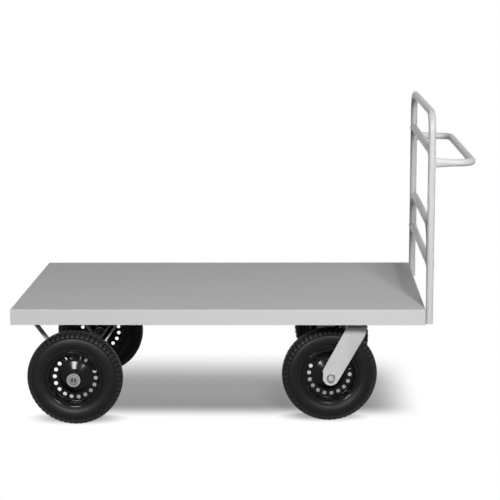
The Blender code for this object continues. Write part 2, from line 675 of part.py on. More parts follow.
def main():
    """Build the cart in an empty scene."""
    for obj in list(bpy.data.objects):
        bpy.data.objects.remove(obj, do_unlink=True)
    finishes = {
        "paint": finish("grey_powder_coat", (0.46, 0.46, 0.46), 0.45, 0.0),
        "galvanised": finish("fork_coat", (0.58, 0.57, 0.57), 0.42, 0.3),
        "rim": finish("gloss_black", (0.012, 0.012, 0.013), 0.15, 0.0),
        "hub": finish("hub_black", (0.03, 0.03, 0.03), 0.3, 0.2),
        "rubber": finish("tyre_rubber", (0.022, 0.022, 0.023), 0.62, 0.0),
        "steel": finish("zinc_plate", (0.62, 0.63, 0.64), 0.3, 1.0),
    }
    build_deck(finishes["paint"])
    build_beams(finishes["paint"])
    build_handle(finishes["paint"])
    build_fixed_axle(finishes["steel"], finishes["paint"])

    for side, label, phase in ((-1, "near", NEAR_FIXED_TURN), (1, "far", FAR_FIXED_TURN)):
        centre = pivot("fixed_wheel_line_" + label, (FIXED_AXLE_X, side * FIXED_WHEEL_Y, WHEEL_RADIUS))
        build_wheel("fixed_" + label, centre, side, phase, FIXED_VALVE, finishes)
    build_castor("near", -SWIVEL_Y, -1, NEAR_SWIVEL, NEAR_CASTOR_TURN, finishes)
    build_castor("far", SWIVEL_Y, 1, FAR_SWIVEL, FAR_CASTOR_TURN, finishes)

    # The far castor stands out past the deck, so the deck lies off the box's middle
    for obj in bpy.data.objects:
        if obj.parent is None:
            obj.location.y -= FAR_TYRE_OVERHANG / 2


main()
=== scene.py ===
"""Looks of a platform cart: grey steel deck, tube handle frame and four pneumatic wheels.

Everything is in metres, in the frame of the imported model: +X towards the handle frame, +Y
towards the far side and +Z up from the floor.
"""

import logging
import math
from dataclasses import dataclass, replace
from enum import Enum, IntEnum
from functools import cache
from typing import Callable, Iterable, NamedTuple, Sequence

import bmesh
import bpy
from mathutils import Matrix, Vector


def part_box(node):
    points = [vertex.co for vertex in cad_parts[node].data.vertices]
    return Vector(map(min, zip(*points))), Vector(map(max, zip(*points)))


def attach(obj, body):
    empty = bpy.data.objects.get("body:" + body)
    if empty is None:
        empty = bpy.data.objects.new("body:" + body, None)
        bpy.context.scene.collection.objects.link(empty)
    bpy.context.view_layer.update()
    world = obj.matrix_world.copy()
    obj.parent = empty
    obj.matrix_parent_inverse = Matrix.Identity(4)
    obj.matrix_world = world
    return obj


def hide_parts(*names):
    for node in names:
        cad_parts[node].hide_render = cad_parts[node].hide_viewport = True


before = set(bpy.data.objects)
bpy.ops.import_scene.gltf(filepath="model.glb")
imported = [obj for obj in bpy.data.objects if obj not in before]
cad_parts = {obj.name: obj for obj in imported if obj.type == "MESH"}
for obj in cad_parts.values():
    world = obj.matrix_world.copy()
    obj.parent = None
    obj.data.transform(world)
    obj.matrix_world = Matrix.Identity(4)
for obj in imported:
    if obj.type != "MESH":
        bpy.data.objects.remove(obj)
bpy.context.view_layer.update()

LOG = logging.getLogger("cart")

Point2 = tuple[float, float]
Point3 = tuple[float, float, float]
Colour = Point3
Section = tuple[Point2, ...]
Loop = list[bmesh.types.BMVert]
Piece = bpy.types.Object
Socket = bpy.types.NodeSocket
Feed = Socket | float | Sequence[float]

# Sizes and places that several sub-assemblies share
DECK_Y = -0.02985
DECK_LEFT = -0.948
DECK_RIGHT = 0.752
DECK_HALF_WIDTH = 0.475
DECK_TOP = 0.509
DECK_SKIRT = 0.065
SHEET = 0.0025
POST_X = 0.7673
POST_REACH = 0.460
TUBE_RADIUS = 0.015
RAIL_REACH = 0.318
BEAM_TOP = 0.5062
BEAM_BOTTOM = 0.4462
BEAM_WIDTH = 0.050
AXLE_HEIGHT = 0.200
HUB_HALF = 0.046
GAP = 0.0003
CART_FRAME = "cart_frame"


class Side(Enum):
    """Side of the cart, with the way that it lies along Y."""

    NEAR = -1
    FAR = 1

    @property
    def label(self) -> str:
        """Word that ends the names of the nodes on this side."""
        return self.name.lower()


class Slot(Enum):
    """Material slot of the record."""

    PAINT = "paint"
    FORK = "fork"
    RIM = "rim"
    HUB = "hub"
    RUBBER = "rubber"
    STEEL = "steel"


class Facets(IntEnum):
    """Steps round a turned shape, named for a piece that is about as wide."""

    STEM = 20
    CAP = 24
    SHANK = 32
    WASHER = 40
    SCREW = 48
    BEARING = 56
    HUB = 64
    RACE = 72


# Node trees

SOCKET_KINDS = {
    float: "NodeSocketFloat",
    int: "NodeSocketInt",
    tuple: "NodeSocketColor",
    type(None): "NodeSocketVector",
}


class NodeGraph:
    """Node tree of a material, a group or a recipe, with short ways to add and join nodes."""

    def __init__(self, tree: bpy.types.NodeTree) -> None:
        """Start on a tree."""
        self.tree = tree

    def add(self, kind: str, inputs: dict | None = None, **settings: object) -> bpy.types.Node:
        """Add a node.

        Args:
            kind: Blender's type name of the node.
            inputs: Socket name or number to a value, or to the socket that feeds it.
            settings: Properties of the node itself.

        Returns:
            The new node.
        """
        node = self.tree.nodes.new(kind)
        for name, value in settings.items():
            setattr(node, name, value)
        for name, value in (inputs or {}).items():
            socket = node.inputs[name]
            if isinstance(value, Socket):
                self.tree.links.new(value, socket)
            else:
                socket.default_value = value
        return node

    def noise(self, vector: Feed, scale: Feed, detail: float = 3.0) -> Socket:
        """Noise from 0 to 1 over a vector."""
        node = self.add("ShaderNodeTexNoise", {"Vector": vector, "Scale": scale, "Detail": detail})
        return node.outputs["Fac"]

    def maths(self, operation: str, first: Feed, second: Feed = 0.0, clamp: bool = False) -> Socket:
        """One sum on two values or sockets."""
        inputs = {0: first, 1: second}
        return self.add("ShaderNodeMath", inputs, operation=operation, use_clamp=clamp).outputs[0]

    def spread(self, value: Feed, given: Point2, wanted: Point2) -> Socket:
        """Map a given range of a value evenly to a wanted one, held at its ends."""
        return self.ramp(value, given, wanted, "LINEAR")

    def fade(self, value: Feed, given: Point2, wanted: Point2) -> Socket:
        """Map a given range of a value to a wanted one, softly at both ends."""
        return self.ramp(value, given, wanted, "SMOOTHSTEP")

    def ramp(self, value: Feed, given: Point2, wanted: Point2, kind: str) -> Socket:
        """Map a range of a value to another range.

        Args:
            value: The value.
            given: The range's start and end.
            wanted: What they become.
            kind: Blender's name for the way between them.

        Returns:
            The mapped value.
        """
        inputs = {"Value": value, "From Min": given[0], "From Max": given[1]}
        inputs |= {"To Min": wanted[0], "To Max": wanted[1]}
        node = self.add("ShaderNodeMapRange", inputs, clamp=True, interpolation_type=kind)
        return node.outputs["Result"]

    def blend(self, share: Feed, first: Feed, second: Feed, mode: str = "MIX") -> Socket:
        """Blend two colours, with a share of the second one."""
        inputs = {0: share, 6: first, 7: second}
        return self.add("ShaderNodeMix", inputs, data_type="RGBA", blend_type=mode).outputs[2]

    def group(self, tree: bpy.types.NodeTree, vector: Feed, values: dict) -> bpy.types.Node:
        """Add a node group, with the coordinates and the named values that feed it."""
        return self.add("ShaderNodeGroup", node_tree=tree, inputs={**values, "Vector": vector})


def group_tree(
    name: str, inputs: dict, outputs: dict
) -> tuple[NodeGraph, bpy.types.Node, bpy.types.Node]:
    """Start a shader node group.

    Args:
        name: Name of the group.
        inputs: Input name to its default value, which is None for a vector.
        outputs: Output name to its socket type.

    Returns:
        The group's graph, its input node and its output node.
    """
    tree = bpy.data.node_groups.new(name, "ShaderNodeTree")
    for label, default in inputs.items():
        kind = SOCKET_KINDS[type(default)]
        socket = tree.interface.new_socket(label, in_out="INPUT", socket_type=kind)
        if default is not None:
            socket.default_value = default
    for label, kind in outputs.items():
        tree.interface.new_socket(label, in_out="OUTPUT", socket_type=kind)
    graph = NodeGraph(tree)
    return graph, graph.add("NodeGroupInput"), graph.add("NodeGroupOutput")


@cache
def mottle_group() -> bpy.types.NodeTree:
    """Group that varies a colour and a roughness in soft patches.

    Returns:
        The group, with the outputs Colour and Roughness.
    """
    graph, given, result = group_tree(
        "soft_mottle",
        {
            "Vector": None,
            "Colour": (0.5, 0.5, 0.5, 1.0),
            "Colour Spread": 0.05,
            "Roughness": 0.5,
            "Roughness Spread": 0.05,
            "Patch Scale": 6.0,
        },
        {"Colour": "NodeSocketColor", "Roughness": "NodeSocketFloat"},
    )
    fine_ratio, fine_share, middle, gain = 14.0, 0.35, 0.675, 4.0
    vector, patch_scale = given.outputs["Vector"], given.outputs["Patch Scale"]
    broad = graph.noise(vector, patch_scale, 4.0)
    fine = graph.noise(vector, graph.maths("MULTIPLY", patch_scale, fine_ratio), 2.0)
    both = graph.maths("ADD", broad, graph.maths("MULTIPLY", fine, fine_share))
    swing = graph.maths("MULTIPLY", graph.maths("SUBTRACT", both, middle), gain)
    tint = graph.maths("MULTIPLY", swing, given.outputs["Colour Spread"])
    factor = graph.maths("ADD", 1.0, tint)
    grey = graph.add("ShaderNodeCombineXYZ", {0: factor, 1: factor, 2: factor}).outputs[0]
    colour = graph.blend(1.0, given.outputs["Colour"], grey, "MULTIPLY")
    unevenness = graph.maths("MULTIPLY", swing, given.outputs["Roughness Spread"])
    rough = graph.maths("ADD", given.outputs["Roughness"], unevenness)
    graph.tree.links.new(colour, result.inputs["Colour"])
    graph.tree.links.new(rough, result.inputs["Roughness"])
    return graph.tree


@cache
def peel_group() -> bpy.types.NodeTree:
    """Group that gives the height of a sprayed or moulded skin.

    Returns:
        The group, with the output Height.
    """
    graph, given, result = group_tree(
        "skin_height",
        {
            "Vector": None,
            "Ripple Scale": 260.0,
            "Grain Scale": 1400.0,
            "Grain Share": 0.35,
        },
        {"Height": "NodeSocketFloat"},
    )
    ripple = graph.noise(given.outputs["Vector"], given.outputs["Ripple Scale"], 1.0)
    grain = graph.noise(given.outputs["Vector"], given.outputs["Grain Scale"], 2.0)
    share = graph.maths("MULTIPLY", grain, given.outputs["Grain Share"])
    graph.tree.links.new(graph.maths("ADD", ripple, share), result.inputs["Height"])
    return graph.tree


@cache
def dust_group() -> bpy.types.NodeTree:
    """Group that masks where dust settles: on faces that look up, in soft patches.

    Returns:
        The group, with the output Mask.
    """
    graph, given, result = group_tree(
        "settled_dust",
        {
            "Vector": None,
            "Amount": 0.2,
            "Upward": 0.6,
        },
        {"Mask": "NodeSocketFloat"},
    )
    steepest, patch_scale, patch_range = -0.2, 22.0, (0.4, 0.7)
    normal = graph.add("ShaderNodeNewGeometry").outputs["Normal"]
    height = graph.add("ShaderNodeSeparateXYZ", {0: normal}).outputs["Z"]
    facing = graph.spread(height, (steepest, 1.0), (0.0, 1.0))
    noise = graph.noise(given.outputs["Vector"], patch_scale, 5.0)
    patches = graph.spread(noise, patch_range, (0.0, 1.0))
    lifted = graph.maths("MULTIPLY", facing, given.outputs["Upward"])
    rest = graph.maths("SUBTRACT", 1.0, given.outputs["Upward"])
    where = graph.maths("ADD", lifted, rest)
    settled = graph.maths("MULTIPLY", where, patches)
    mask = graph.maths("MULTIPLY", settled, given.outputs["Amount"], clamp=True)
    graph.tree.links.new(mask, result.inputs["Mask"])
    return graph.tree


@cache
def edge_group() -> bpy.types.NodeTree:
    """Group that masks convex edges, broken up in patches; finishes blend a lighter edge colour
    there.

    Returns:
        The group, with the output Mask.
    """
    graph, given, result = group_tree(
        "lighter_convex_edges",
        {
            "Vector": None,
            "Amount": 0.4,
            "Threshold": 0.53,
        },
        {"Mask": "NodeSocketFloat"},
    )
    gain, break_scale = 18.0, 90.0
    pointed = graph.add("ShaderNodeNewGeometry").outputs["Pointiness"]
    over = graph.maths("SUBTRACT", pointed, given.outputs["Threshold"])
    sharp = graph.maths("MULTIPLY", over, gain, clamp=True)
    noise = graph.noise(given.outputs["Vector"], break_scale, 4.0)
    broken = graph.spread(noise, (0.35, 0.65), (0.3, 1.0))
    patchy_edges = graph.maths("MULTIPLY", sharp, broken)
    mask = graph.maths("MULTIPLY", patchy_edges, given.outputs["Amount"], clamp=True)
    graph.tree.links.new(mask, result.inputs["Mask"])
    return graph.tree


# Finishes

DUST_DULLING = 0.5


@dataclass(frozen=True)
class Finish:
    """Surface of one real material, as a node material over Object coordinates."""

    name: str
    colour: Colour
    roughness: float
    metallic: float = 0.0
    colour_spread: float = 0.04
    roughness_spread: float = 0.05
    patch_scale: float = 6.0
    stretch: Point3 = (1.0, 1.0, 1.0)
    ripple_scale: float = 260.0
    grain_scale: float = 1400.0
    grain_share: float = 0.35
    bump_depth: float = 0.0002
    dust: float = 0.0
    dust_colour: Colour = (0.32, 0.30, 0.28)
    edge_amount: float = 0.0
    edge_colour: Colour = (0.6, 0.6, 0.6)
    specular: float = 0.5

    def material(self) -> bpy.types.Material:
        """Build the material, or give the one already built.

        Returns:
            The node material.
        """
        found = bpy.data.materials.get(self.name)
        if found is not None:
            return found
        material = bpy.data.materials.new(self.name)
        material.use_nodes = True
        material.diffuse_color = (*self.colour, 1.0)
        graph = NodeGraph(material.node_tree)
        place = graph.add("ShaderNodeTexCoord").outputs["Object"]
        stretched = graph.add("ShaderNodeMapping", {"Vector": place, "Scale": self.stretch})
        values = {
            "Colour": (*self.colour, 1.0),
            "Colour Spread": self.colour_spread,
            "Roughness": self.roughness,
            "Roughness Spread": self.roughness_spread,
            "Patch Scale": self.patch_scale,
        }
        mottle = graph.group(mottle_group(), stretched.outputs[0], values)
        colour, rough = mottle.outputs["Colour"], mottle.outputs["Roughness"]
        if self.edge_amount > 0.0:
            edges = graph.group(edge_group(), place, {"Amount": self.edge_amount})
            colour = graph.blend(edges.outputs["Mask"], colour, (*self.edge_colour, 1.0))
        if self.dust > 0.0:
            dust = graph.group(dust_group(), place, {"Amount": self.dust})
            colour = graph.blend(dust.outputs["Mask"], colour, (*self.dust_colour, 1.0))
            dulled = graph.maths("MULTIPLY", dust.outputs["Mask"], DUST_DULLING)
            rough = graph.maths("ADD", rough, dulled)
        values = {
            "Ripple Scale": self.ripple_scale,
            "Grain Scale": self.grain_scale,
            "Grain Share": self.grain_share,
        }
        skin = graph.group(peel_group(), place, values).outputs["Height"]
        inputs = {"Height": skin, "Distance": self.bump_depth, "Strength": 1.0}
        bump = graph.add("ShaderNodeBump", inputs)
        shader = graph.tree.nodes["Principled BSDF"]
        graph.tree.links.new(colour, shader.inputs["Base Color"])
        graph.tree.links.new(rough, shader.inputs["Roughness"])
        graph.tree.links.new(bump.outputs["Normal"], shader.inputs["Normal"])
        shader.inputs["Metallic"].default_value = self.metallic
        shader.inputs["Specular IOR Level"].default_value = self.specular
        return material


POWDER_COAT = Finish(
    "grey_powder_coat", (0.50, 0.50, 0.50), 0.5, colour_spread=0.02, roughness_spread=0.03,
    patch_scale=2.2, stretch=(0.35, 1.6, 1.6), bump_depth=0.0001, edge_amount=0.10,
    specular=0.02,
)
TUBE_COAT = Finish(
    "grey_tube_coat", (0.50, 0.50, 0.50), 0.38, colour_spread=0.03, roughness_spread=0.04,
    patch_scale=9.0, bump_depth=0.0001, specular=0.25,
)
WELD_COAT = Finish(
    "coated_weld", (0.41, 0.41, 0.41), 0.48, colour_spread=0.08, patch_scale=60.0,
    bump_depth=0.0003,
)
FORK_COAT = Finish(
    "light_fork_coat", (0.455, 0.447, 0.455), 0.36, colour_spread=0.03,
    roughness_spread=0.04, patch_scale=16.0, bump_depth=0.0001, edge_amount=0.1, specular=0.4,
)
RIM_GLOSS = Finish(
    "gloss_black_rim", (0.0060, 0.0060, 0.0064), 0.15, colour_spread=0.1,
    roughness_spread=0.02, patch_scale=30.0, bump_depth=0.00003, dust=0.01, specular=0.085,
)
HUB_BLACK = Finish(
    "satin_black_hub", (0.008, 0.008, 0.008), 0.34, patch_scale=40.0, bump_depth=0.0001,
    specular=0.3,
)
TREAD_RUBBER = Finish(
    "tread_rubber", (0.0150, 0.0150, 0.0155), 0.42, colour_spread=0.10, patch_scale=30.0,
    ripple_scale=600.0, bump_depth=0.0003, dust=0.08, dust_colour=(0.08, 0.08, 0.08),
    edge_amount=0.2, edge_colour=(0.045, 0.045, 0.045), specular=0.07,
)
SIDEWALL_RUBBER = Finish(
    "sidewall_rubber", (0.0068, 0.0068, 0.0072), 0.44, colour_spread=0.10, patch_scale=20.0,
    ripple_scale=500.0, bump_depth=0.0002, dust=0.05, dust_colour=(0.035, 0.035, 0.035),
    specular=0.08,
)
ZINC = Finish(
    "zinc_plate", (0.42, 0.425, 0.43), 0.30, metallic=1.0, colour_spread=0.10,
    roughness_spread=0.12, patch_scale=50.0, ripple_scale=700.0, bump_depth=0.00008,
)
NUT_STEEL = replace(
    ZINC, name="nut_steel", colour=(0.20, 0.20, 0.205), roughness=0.34, colour_spread=0.14
)
WASHER_FACE = Finish(
    "washer_face", (0.19, 0.19, 0.19), 0.45, metallic=0.4, colour_spread=0.06,
    patch_scale=60.0, ripple_scale=700.0, bump_depth=0.00008,
)
WASHER_BOSS = replace(WASHER_FACE, name="washer_boss", colour=(0.13, 0.13, 0.13))
DARK_SCREW = Finish(
    "blackened_screw", (0.012, 0.012, 0.012), 0.4, metallic=0.2, patch_scale=80.0,
    bump_depth=0.00008,
)
SEAL_RUBBER = Finish(
    "bearing_seal", (0.02, 0.018, 0.018), 0.5, patch_scale=60.0, bump_depth=0.0001,
)
PLUG_PLASTIC = replace(SEAL_RUBBER, name="tube_plug", colour=(0.03, 0.03, 0.03))
VALVE_METAL = Finish(
    "valve_metal", (0.10, 0.10, 0.098), 0.30, metallic=1.0, patch_scale=90.0,
    bump_depth=0.00005,
)
WHITE = (1.0, 1.0, 1.0, 1.0)


def seen_directly(graph: NodeGraph) -> Socket:
    """Mask of the rays that show a background, and don't only carry its light.

    Args:
        graph: The material's or the world's graph.

    Returns:
        The mask: 1 for what the camera sees, also in metal and through glass.
    """
    path = graph.add("ShaderNodeLightPath").outputs
    seen = graph.maths("MAXIMUM", path["Is Camera Ray"], path["Is Transmission Ray"])
    return graph.maths("MAXIMUM", seen, path["Is Glossy Ray"])


@dataclass(frozen=True)
class FloorFinish:
    """Pale studio floor: near the cart it shows a painted shadow, under the deck and round the near
    tyres, mixed with real matte shading; round that it is plain white.
    """

    name: str = "studio_floor"
    colour: Colour = (0.25, 0.25, 0.25)
    # The painted shadow under the deck: its tones from front to back, its share against real matte
    # shading, and its limits and fades along X and Y.
    core_tones: Point2 = (0.37, 0.56)
    core_share: float = 0.6
    low: Point2 = (-0.80, -0.26)
    high: Point2 = (0.65, 0.42)
    low_fade: Point2 = (0.10, 0.10)
    high_fade: Point2 = (0.13, 0.30)
    # Painted contact shadows round the near tyres: their middles, their reach, their full core and
    # their depth.
    contact_shadows: Section = ((-0.70, -0.36), (0.34, -0.31))
    contact_reach: Point2 = (0.24, 0.11)
    contact_core: float = 0.2
    contact_depth: float = 0.8

    def shadow_band(self, graph: NodeGraph, value: Feed, axis: int) -> Socket:
        """Mask of the painted shadow's extent across one axis: 1 between two limits, fading out
        beyond them.

        Args:
            graph: The material's graph.
            value: Coordinate across the band.
            axis: 0 for X and 1 for Y.

        Returns:
            The mask.
        """
        low, low_fade = self.low[axis], self.low_fade[axis]
        high, high_fade = self.high[axis], self.high_fade[axis]
        start = graph.fade(value, (low - low_fade, low + low_fade), (0.0, 1.0))
        end = graph.fade(value, (high - high_fade, high + high_fade), (1.0, 0.0))
        return graph.maths("MULTIPLY", start, end)

    def spot(self, graph: NodeGraph, place: Sequence[Socket], centre: Point2) -> Socket:
        """Soft mask of a painted contact shadow round the place where a tyre stands.

        Args:
            graph: The material's graph.
            place: Coordinates on the floor.
            centre: Middle of the mask.

        Returns:
            The mask.
        """
        parts = []
        for axis in (0, 1):
            offset = graph.maths("SUBTRACT", place[axis], centre[axis])
            share = graph.maths("DIVIDE", offset, self.contact_reach[axis])
            parts.append(graph.maths("MULTIPLY", share, share))
        reach = graph.maths("SQRT", graph.maths("ADD", parts[0], parts[1]))
        return graph.fade(reach, (self.contact_core, 1.0), (self.contact_depth, 0.0))

    def material(self) -> bpy.types.Material:
        """Build the floor's material, with its painted shadow.

        Returns:
            The node material.
        """
        material = bpy.data.materials.new(self.name)
        material.use_nodes = True
        graph = NodeGraph(material.node_tree)
        graph.tree.nodes.clear()
        place = graph.add("ShaderNodeTexCoord").outputs["Object"]
        split = graph.add("ShaderNodeSeparateXYZ", {0: place})
        bands = [self.shadow_band(graph, split.outputs[axis], axis) for axis in (0, 1)]
        mask = graph.maths("MULTIPLY", *bands)
        for contact in self.contact_shadows:
            mask = graph.maths("MAXIMUM", mask, self.spot(graph, split.outputs, contact))
        # Camera rays see white emission, darkened by the masks into a painted shadow, mixed inside
        # the shadow with real matte shading.
        shown = graph.spread(mask, (0.0, 1.0), (1.0, self.core_share))
        share = graph.maths("MULTIPLY", seen_directly(graph), shown)
        # Tone of the painted shadow, darker towards the front.
        core = graph.spread(split.outputs[1], (self.low[1], self.high[1]), self.core_tones)
        painted_shadow = graph.maths("MULTIPLY", mask, graph.maths("SUBTRACT", core, 1.0))
        tone = graph.maths("ADD", painted_shadow, 1.0)
        matte = graph.add("ShaderNodeBsdfDiffuse", {"Color": (*self.colour, 1.0)}).outputs[0]
        white = graph.add("ShaderNodeEmission", {"Color": WHITE, "Strength": tone}).outputs[0]
        both = graph.add("ShaderNodeMixShader", {0: share, 1: matte, 2: white})
        graph.add("ShaderNodeOutputMaterial", {"Surface": both.outputs[0]})
        return material


FLOOR = FloorFinish()


# Mesh building

ON_AXIS = 1e-9
AT_ORIGIN = Matrix.Identity(4)
UPRIGHT = Matrix.Rotation(math.pi / 2, 4, "X")
HALF_TURN = Matrix.Rotation(math.pi, 4, "Z")


def link_object(name: str, mesh: bpy.types.Mesh) -> Piece:
    """Put a mesh in the scene, as an object at the origin."""
    piece = bpy.data.objects.new(name, mesh)
    bpy.context.scene.collection.objects.link(piece)
    return piece


def place_mesh(
    name: str,
    mesh: bpy.types.Mesh,
    finishes: Sequence[Finish | FloorFinish],
    smooth_angle: float = 35.0,
) -> Piece:
    """Link a mesh as an object at the origin, smooth but for its sharp edges.

    Args:
        name: Name of the piece.
        mesh: Its mesh, in the model's own frame.
        finishes: One finish for each material index.
        smooth_angle: Edges sharper than this, in degrees, stay sharp.

    Returns:
        The object.
    """
    mesh.name = name
    if mesh.materials:
        mesh.materials.clear()
    for finish in finishes:
        mesh.materials.append(finish.material())
    mesh.shade_smooth()
    mesh.set_sharp_from_angle(angle=math.radians(smooth_angle))
    return link_object(name, mesh)


def applied_mesh(source: Piece) -> bpy.types.Mesh:
    """New plain mesh of an object, with its modifiers applied."""
    depsgraph = bpy.context.evaluated_depsgraph_get()
    depsgraph.update()
    return bpy.data.meshes.new_from_object(source.evaluated_get(depsgraph))


def register(piece: Piece, body: str, nodes: Iterable[str] = ()) -> None:
    """Ride a finished piece on its body and name what it stands for.

    Args:
        piece: The finished piece.
        body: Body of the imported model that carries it.
        nodes: Nodes that the piece stands for.
    """
    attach(piece, body)
    names = list(nodes)
    if names:
        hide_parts(*names)
    LOG.info("%s rides on %s, %d faces", piece.name, body, len(piece.data.polygons))


def steady_normals(piece: Piece) -> Piece:
    """Keep the shading of wide flat faces even beside their narrow rounded edges.

    Args:
        piece: The piece.

    Returns:
        The same piece.
    """
    weighted = piece.modifiers.new("steady normals", "WEIGHTED_NORMAL")
    weighted.keep_sharp = True
    weighted.weight = 50
    return piece


def soften(piece: Piece, width: float, angle: float = 30.0) -> None:
    """Round the sharp edges of a piece with a bevel.

    Args:
        piece: The piece.
        width: Width of the bevel in metres.
        angle: Least angle between faces that is bevelled, in degrees.
    """
    bevel = piece.modifiers.new("soft edges", "BEVEL")
    bevel.width = width
    bevel.segments = 2
    bevel.limit_method = "ANGLE"
    bevel.angle_limit = math.radians(angle)
    bevel.harden_normals = False
    steady_normals(piece)


def circle(radius: float, count: int) -> list[Point2]:
    """Points of a circle in a plane, turning from across towards up."""
    angles = [math.tau * k / count for k in range(count)]
    return [(radius * math.cos(a), radius * math.sin(a)) for a in angles]


def arc(centre: Point2, radius: float, first: float, last: float, steps: int) -> list[Point2]:
    """Points on an arc in a plane, from its first angle to its last, both included."""
    angles = [first + (last - first) * k / steps for k in range(steps + 1)]
    return [(centre[0] + radius * math.cos(a), centre[1] + radius * math.sin(a)) for a in angles]


def rounded_rectangle(half: Point2, rounding: float, steps: int) -> list[Point2]:
    """Points round a rectangle at the origin, with rounded corners.

    Args:
        half: Half of its width and half of its height.
        rounding: Radius of the corners.
        steps: Steps in each corner.

    Returns:
        The points, from the upper right corner on.
    """
    wide, high = half[0] - rounding, half[1] - rounding
    points = []
    for quarter, centre in enumerate(((wide, high), (-wide, high), (-wide, -high), (wide, -high))):
        start = quarter * math.pi / 2
        points += arc(centre, rounding, start, start + math.pi / 2, steps)
    return points


class Shape:
    """Closed bodies gathered in one mesh."""

    def __init__(self) -> None:
        """Start with nothing."""
        self.bm = bmesh.new()

    def ring(self, points: Iterable[Vector | Point3]) -> Loop:
        """Add a loop of points."""
        return [self.bm.verts.new(point) for point in points]

    def bridge(self, first: list, second: list, material: int = 0) -> None:
        """Join two loops of the same count with faces, or a loop and a single point.

        Args:
            first: One loop of vertices.
            second: The other loop.
            material: Material index of the faces.
        """
        count = max(len(first), len(second))
        if count < 2:
            return
        for k in range(count):
            following = (k + 1) % count
            corners = [first[k % len(first)], first[following % len(first)]]
            corners += [second[following % len(second)], second[k % len(second)]]
            face = self.bm.faces.new(list(dict.fromkeys(corners)))
            face.material_index = material

    def turn(
        self,
        profile: Sequence[Point2],
        segments: int,
        place: Matrix = AT_ORIGIN,
        materials: Callable[[int], int] = lambda step: 0,
    ) -> None:
        """Turn a closed profile about Y.

        Args:
            profile: Points as (radius, along), in order round the section.
            segments: Steps round the axis.
            place: Where the result goes.
            materials: Material index for each step of the profile.
        """
        rings = []
        for radius, along in profile:
            points = circle(radius, segments) if radius > ON_AXIS else [(0.0, 0.0)]
            rings.append(self.ring(place @ Vector((x, along, z)) for x, z in points))
        for step, (first, second) in enumerate(zip(rings, rings[1:] + rings[:1])):
            self.bridge(first, second, materials(step))

    def extrude(
        self, outline: Sequence[Point2], low: float, high: float, place: Matrix = AT_ORIGIN
    ) -> None:
        """Extrude a simple outline in X and Z along Y.

        Args:
            outline: Points as (x, z).
            low: Start along Y.
            high: End along Y.
            place: Where the result goes.
        """
        ends = [self.ring(place @ Vector((x, y, z)) for x, z in outline) for y in (low, high)]
        self.bridge(*ends)
        for end in ends:
            self.bm.faces.new(end)

    def hexagon(self, flats: float, low: float, high: float, bore: float, place: Matrix) -> None:
        """Hexagon nut or bolt head along Y, with its corners turned off.

        Args:
            flats: Width across the flats.
            low: Start along Y, the seat.
            high: End along Y, the chamfered face.
            bore: Radius of the hole, or 0 for a solid head.
            place: Where the result goes.
        """
        steps, chamfer_share, seat_share, face_share = 24, 0.12, 0.97, 0.93
        sixth = math.pi / 3
        corner = flats / math.sqrt(3.0)
        sides = [math.tau * k / steps for k in range(steps)]
        nearest = [abs((a + sixth / 2) % sixth - sixth / 2) for a in sides]
        outer = [flats / 2 / math.cos(sixth / 2 - n) for n in nearest]
        chamfer = (high - low) * chamfer_share
        stations = [(low, corner * seat_share), (low + chamfer, corner)]
        stations += [(high - chamfer, corner), (high, corner * face_share)]
        rows = []
        for along, cap in stations:
            radii = [min(radius, cap) for radius in outer]
            around = [(r * math.cos(a), r * math.sin(a)) for r, a in zip(radii, sides)]
            rows.append(self.ring(place @ Vector((x, along, z)) for x, z in around))
        if bore > 0.0:
            inside = circle(bore, steps)
            for along in (high, low):
                rows.append(self.ring(place @ Vector((x, along, z)) for x, z in inside))
            pairs = zip(rows, rows[1:] + rows[:1])
        else:
            seat, face = (self.ring([place @ Vector((0.0, along, 0.0))]) for along in (low, high))
            rows = [seat] + rows + [face]
            pairs = zip(rows, rows[1:])
        for first, second in pairs:
            self.bridge(first, second)

    def mesh(self, name: str) -> bpy.types.Mesh:
        """Turn faces outward and end the building.

        Args:
            name: Name of the mesh.

        Returns:
            The mesh.
        """
        bmesh.ops.recalc_face_normals(self.bm, faces=self.bm.faces)
        mesh = bpy.data.meshes.new(name)
        self.bm.to_mesh(mesh)
        self.bm.free()
        return mesh

    def seed(self, name: str) -> Piece:
        """Make a bare object for a recipe to start from."""
        return link_object(name, self.mesh(name))

    def finish(self, name: str, finishes: Sequence[Finish], smooth_angle: float = 35.0) -> Piece:
        """Make the finished object, as place_mesh does."""
        return place_mesh(name, self.mesh(name), finishes, smooth_angle)


# Geometry Nodes recipes


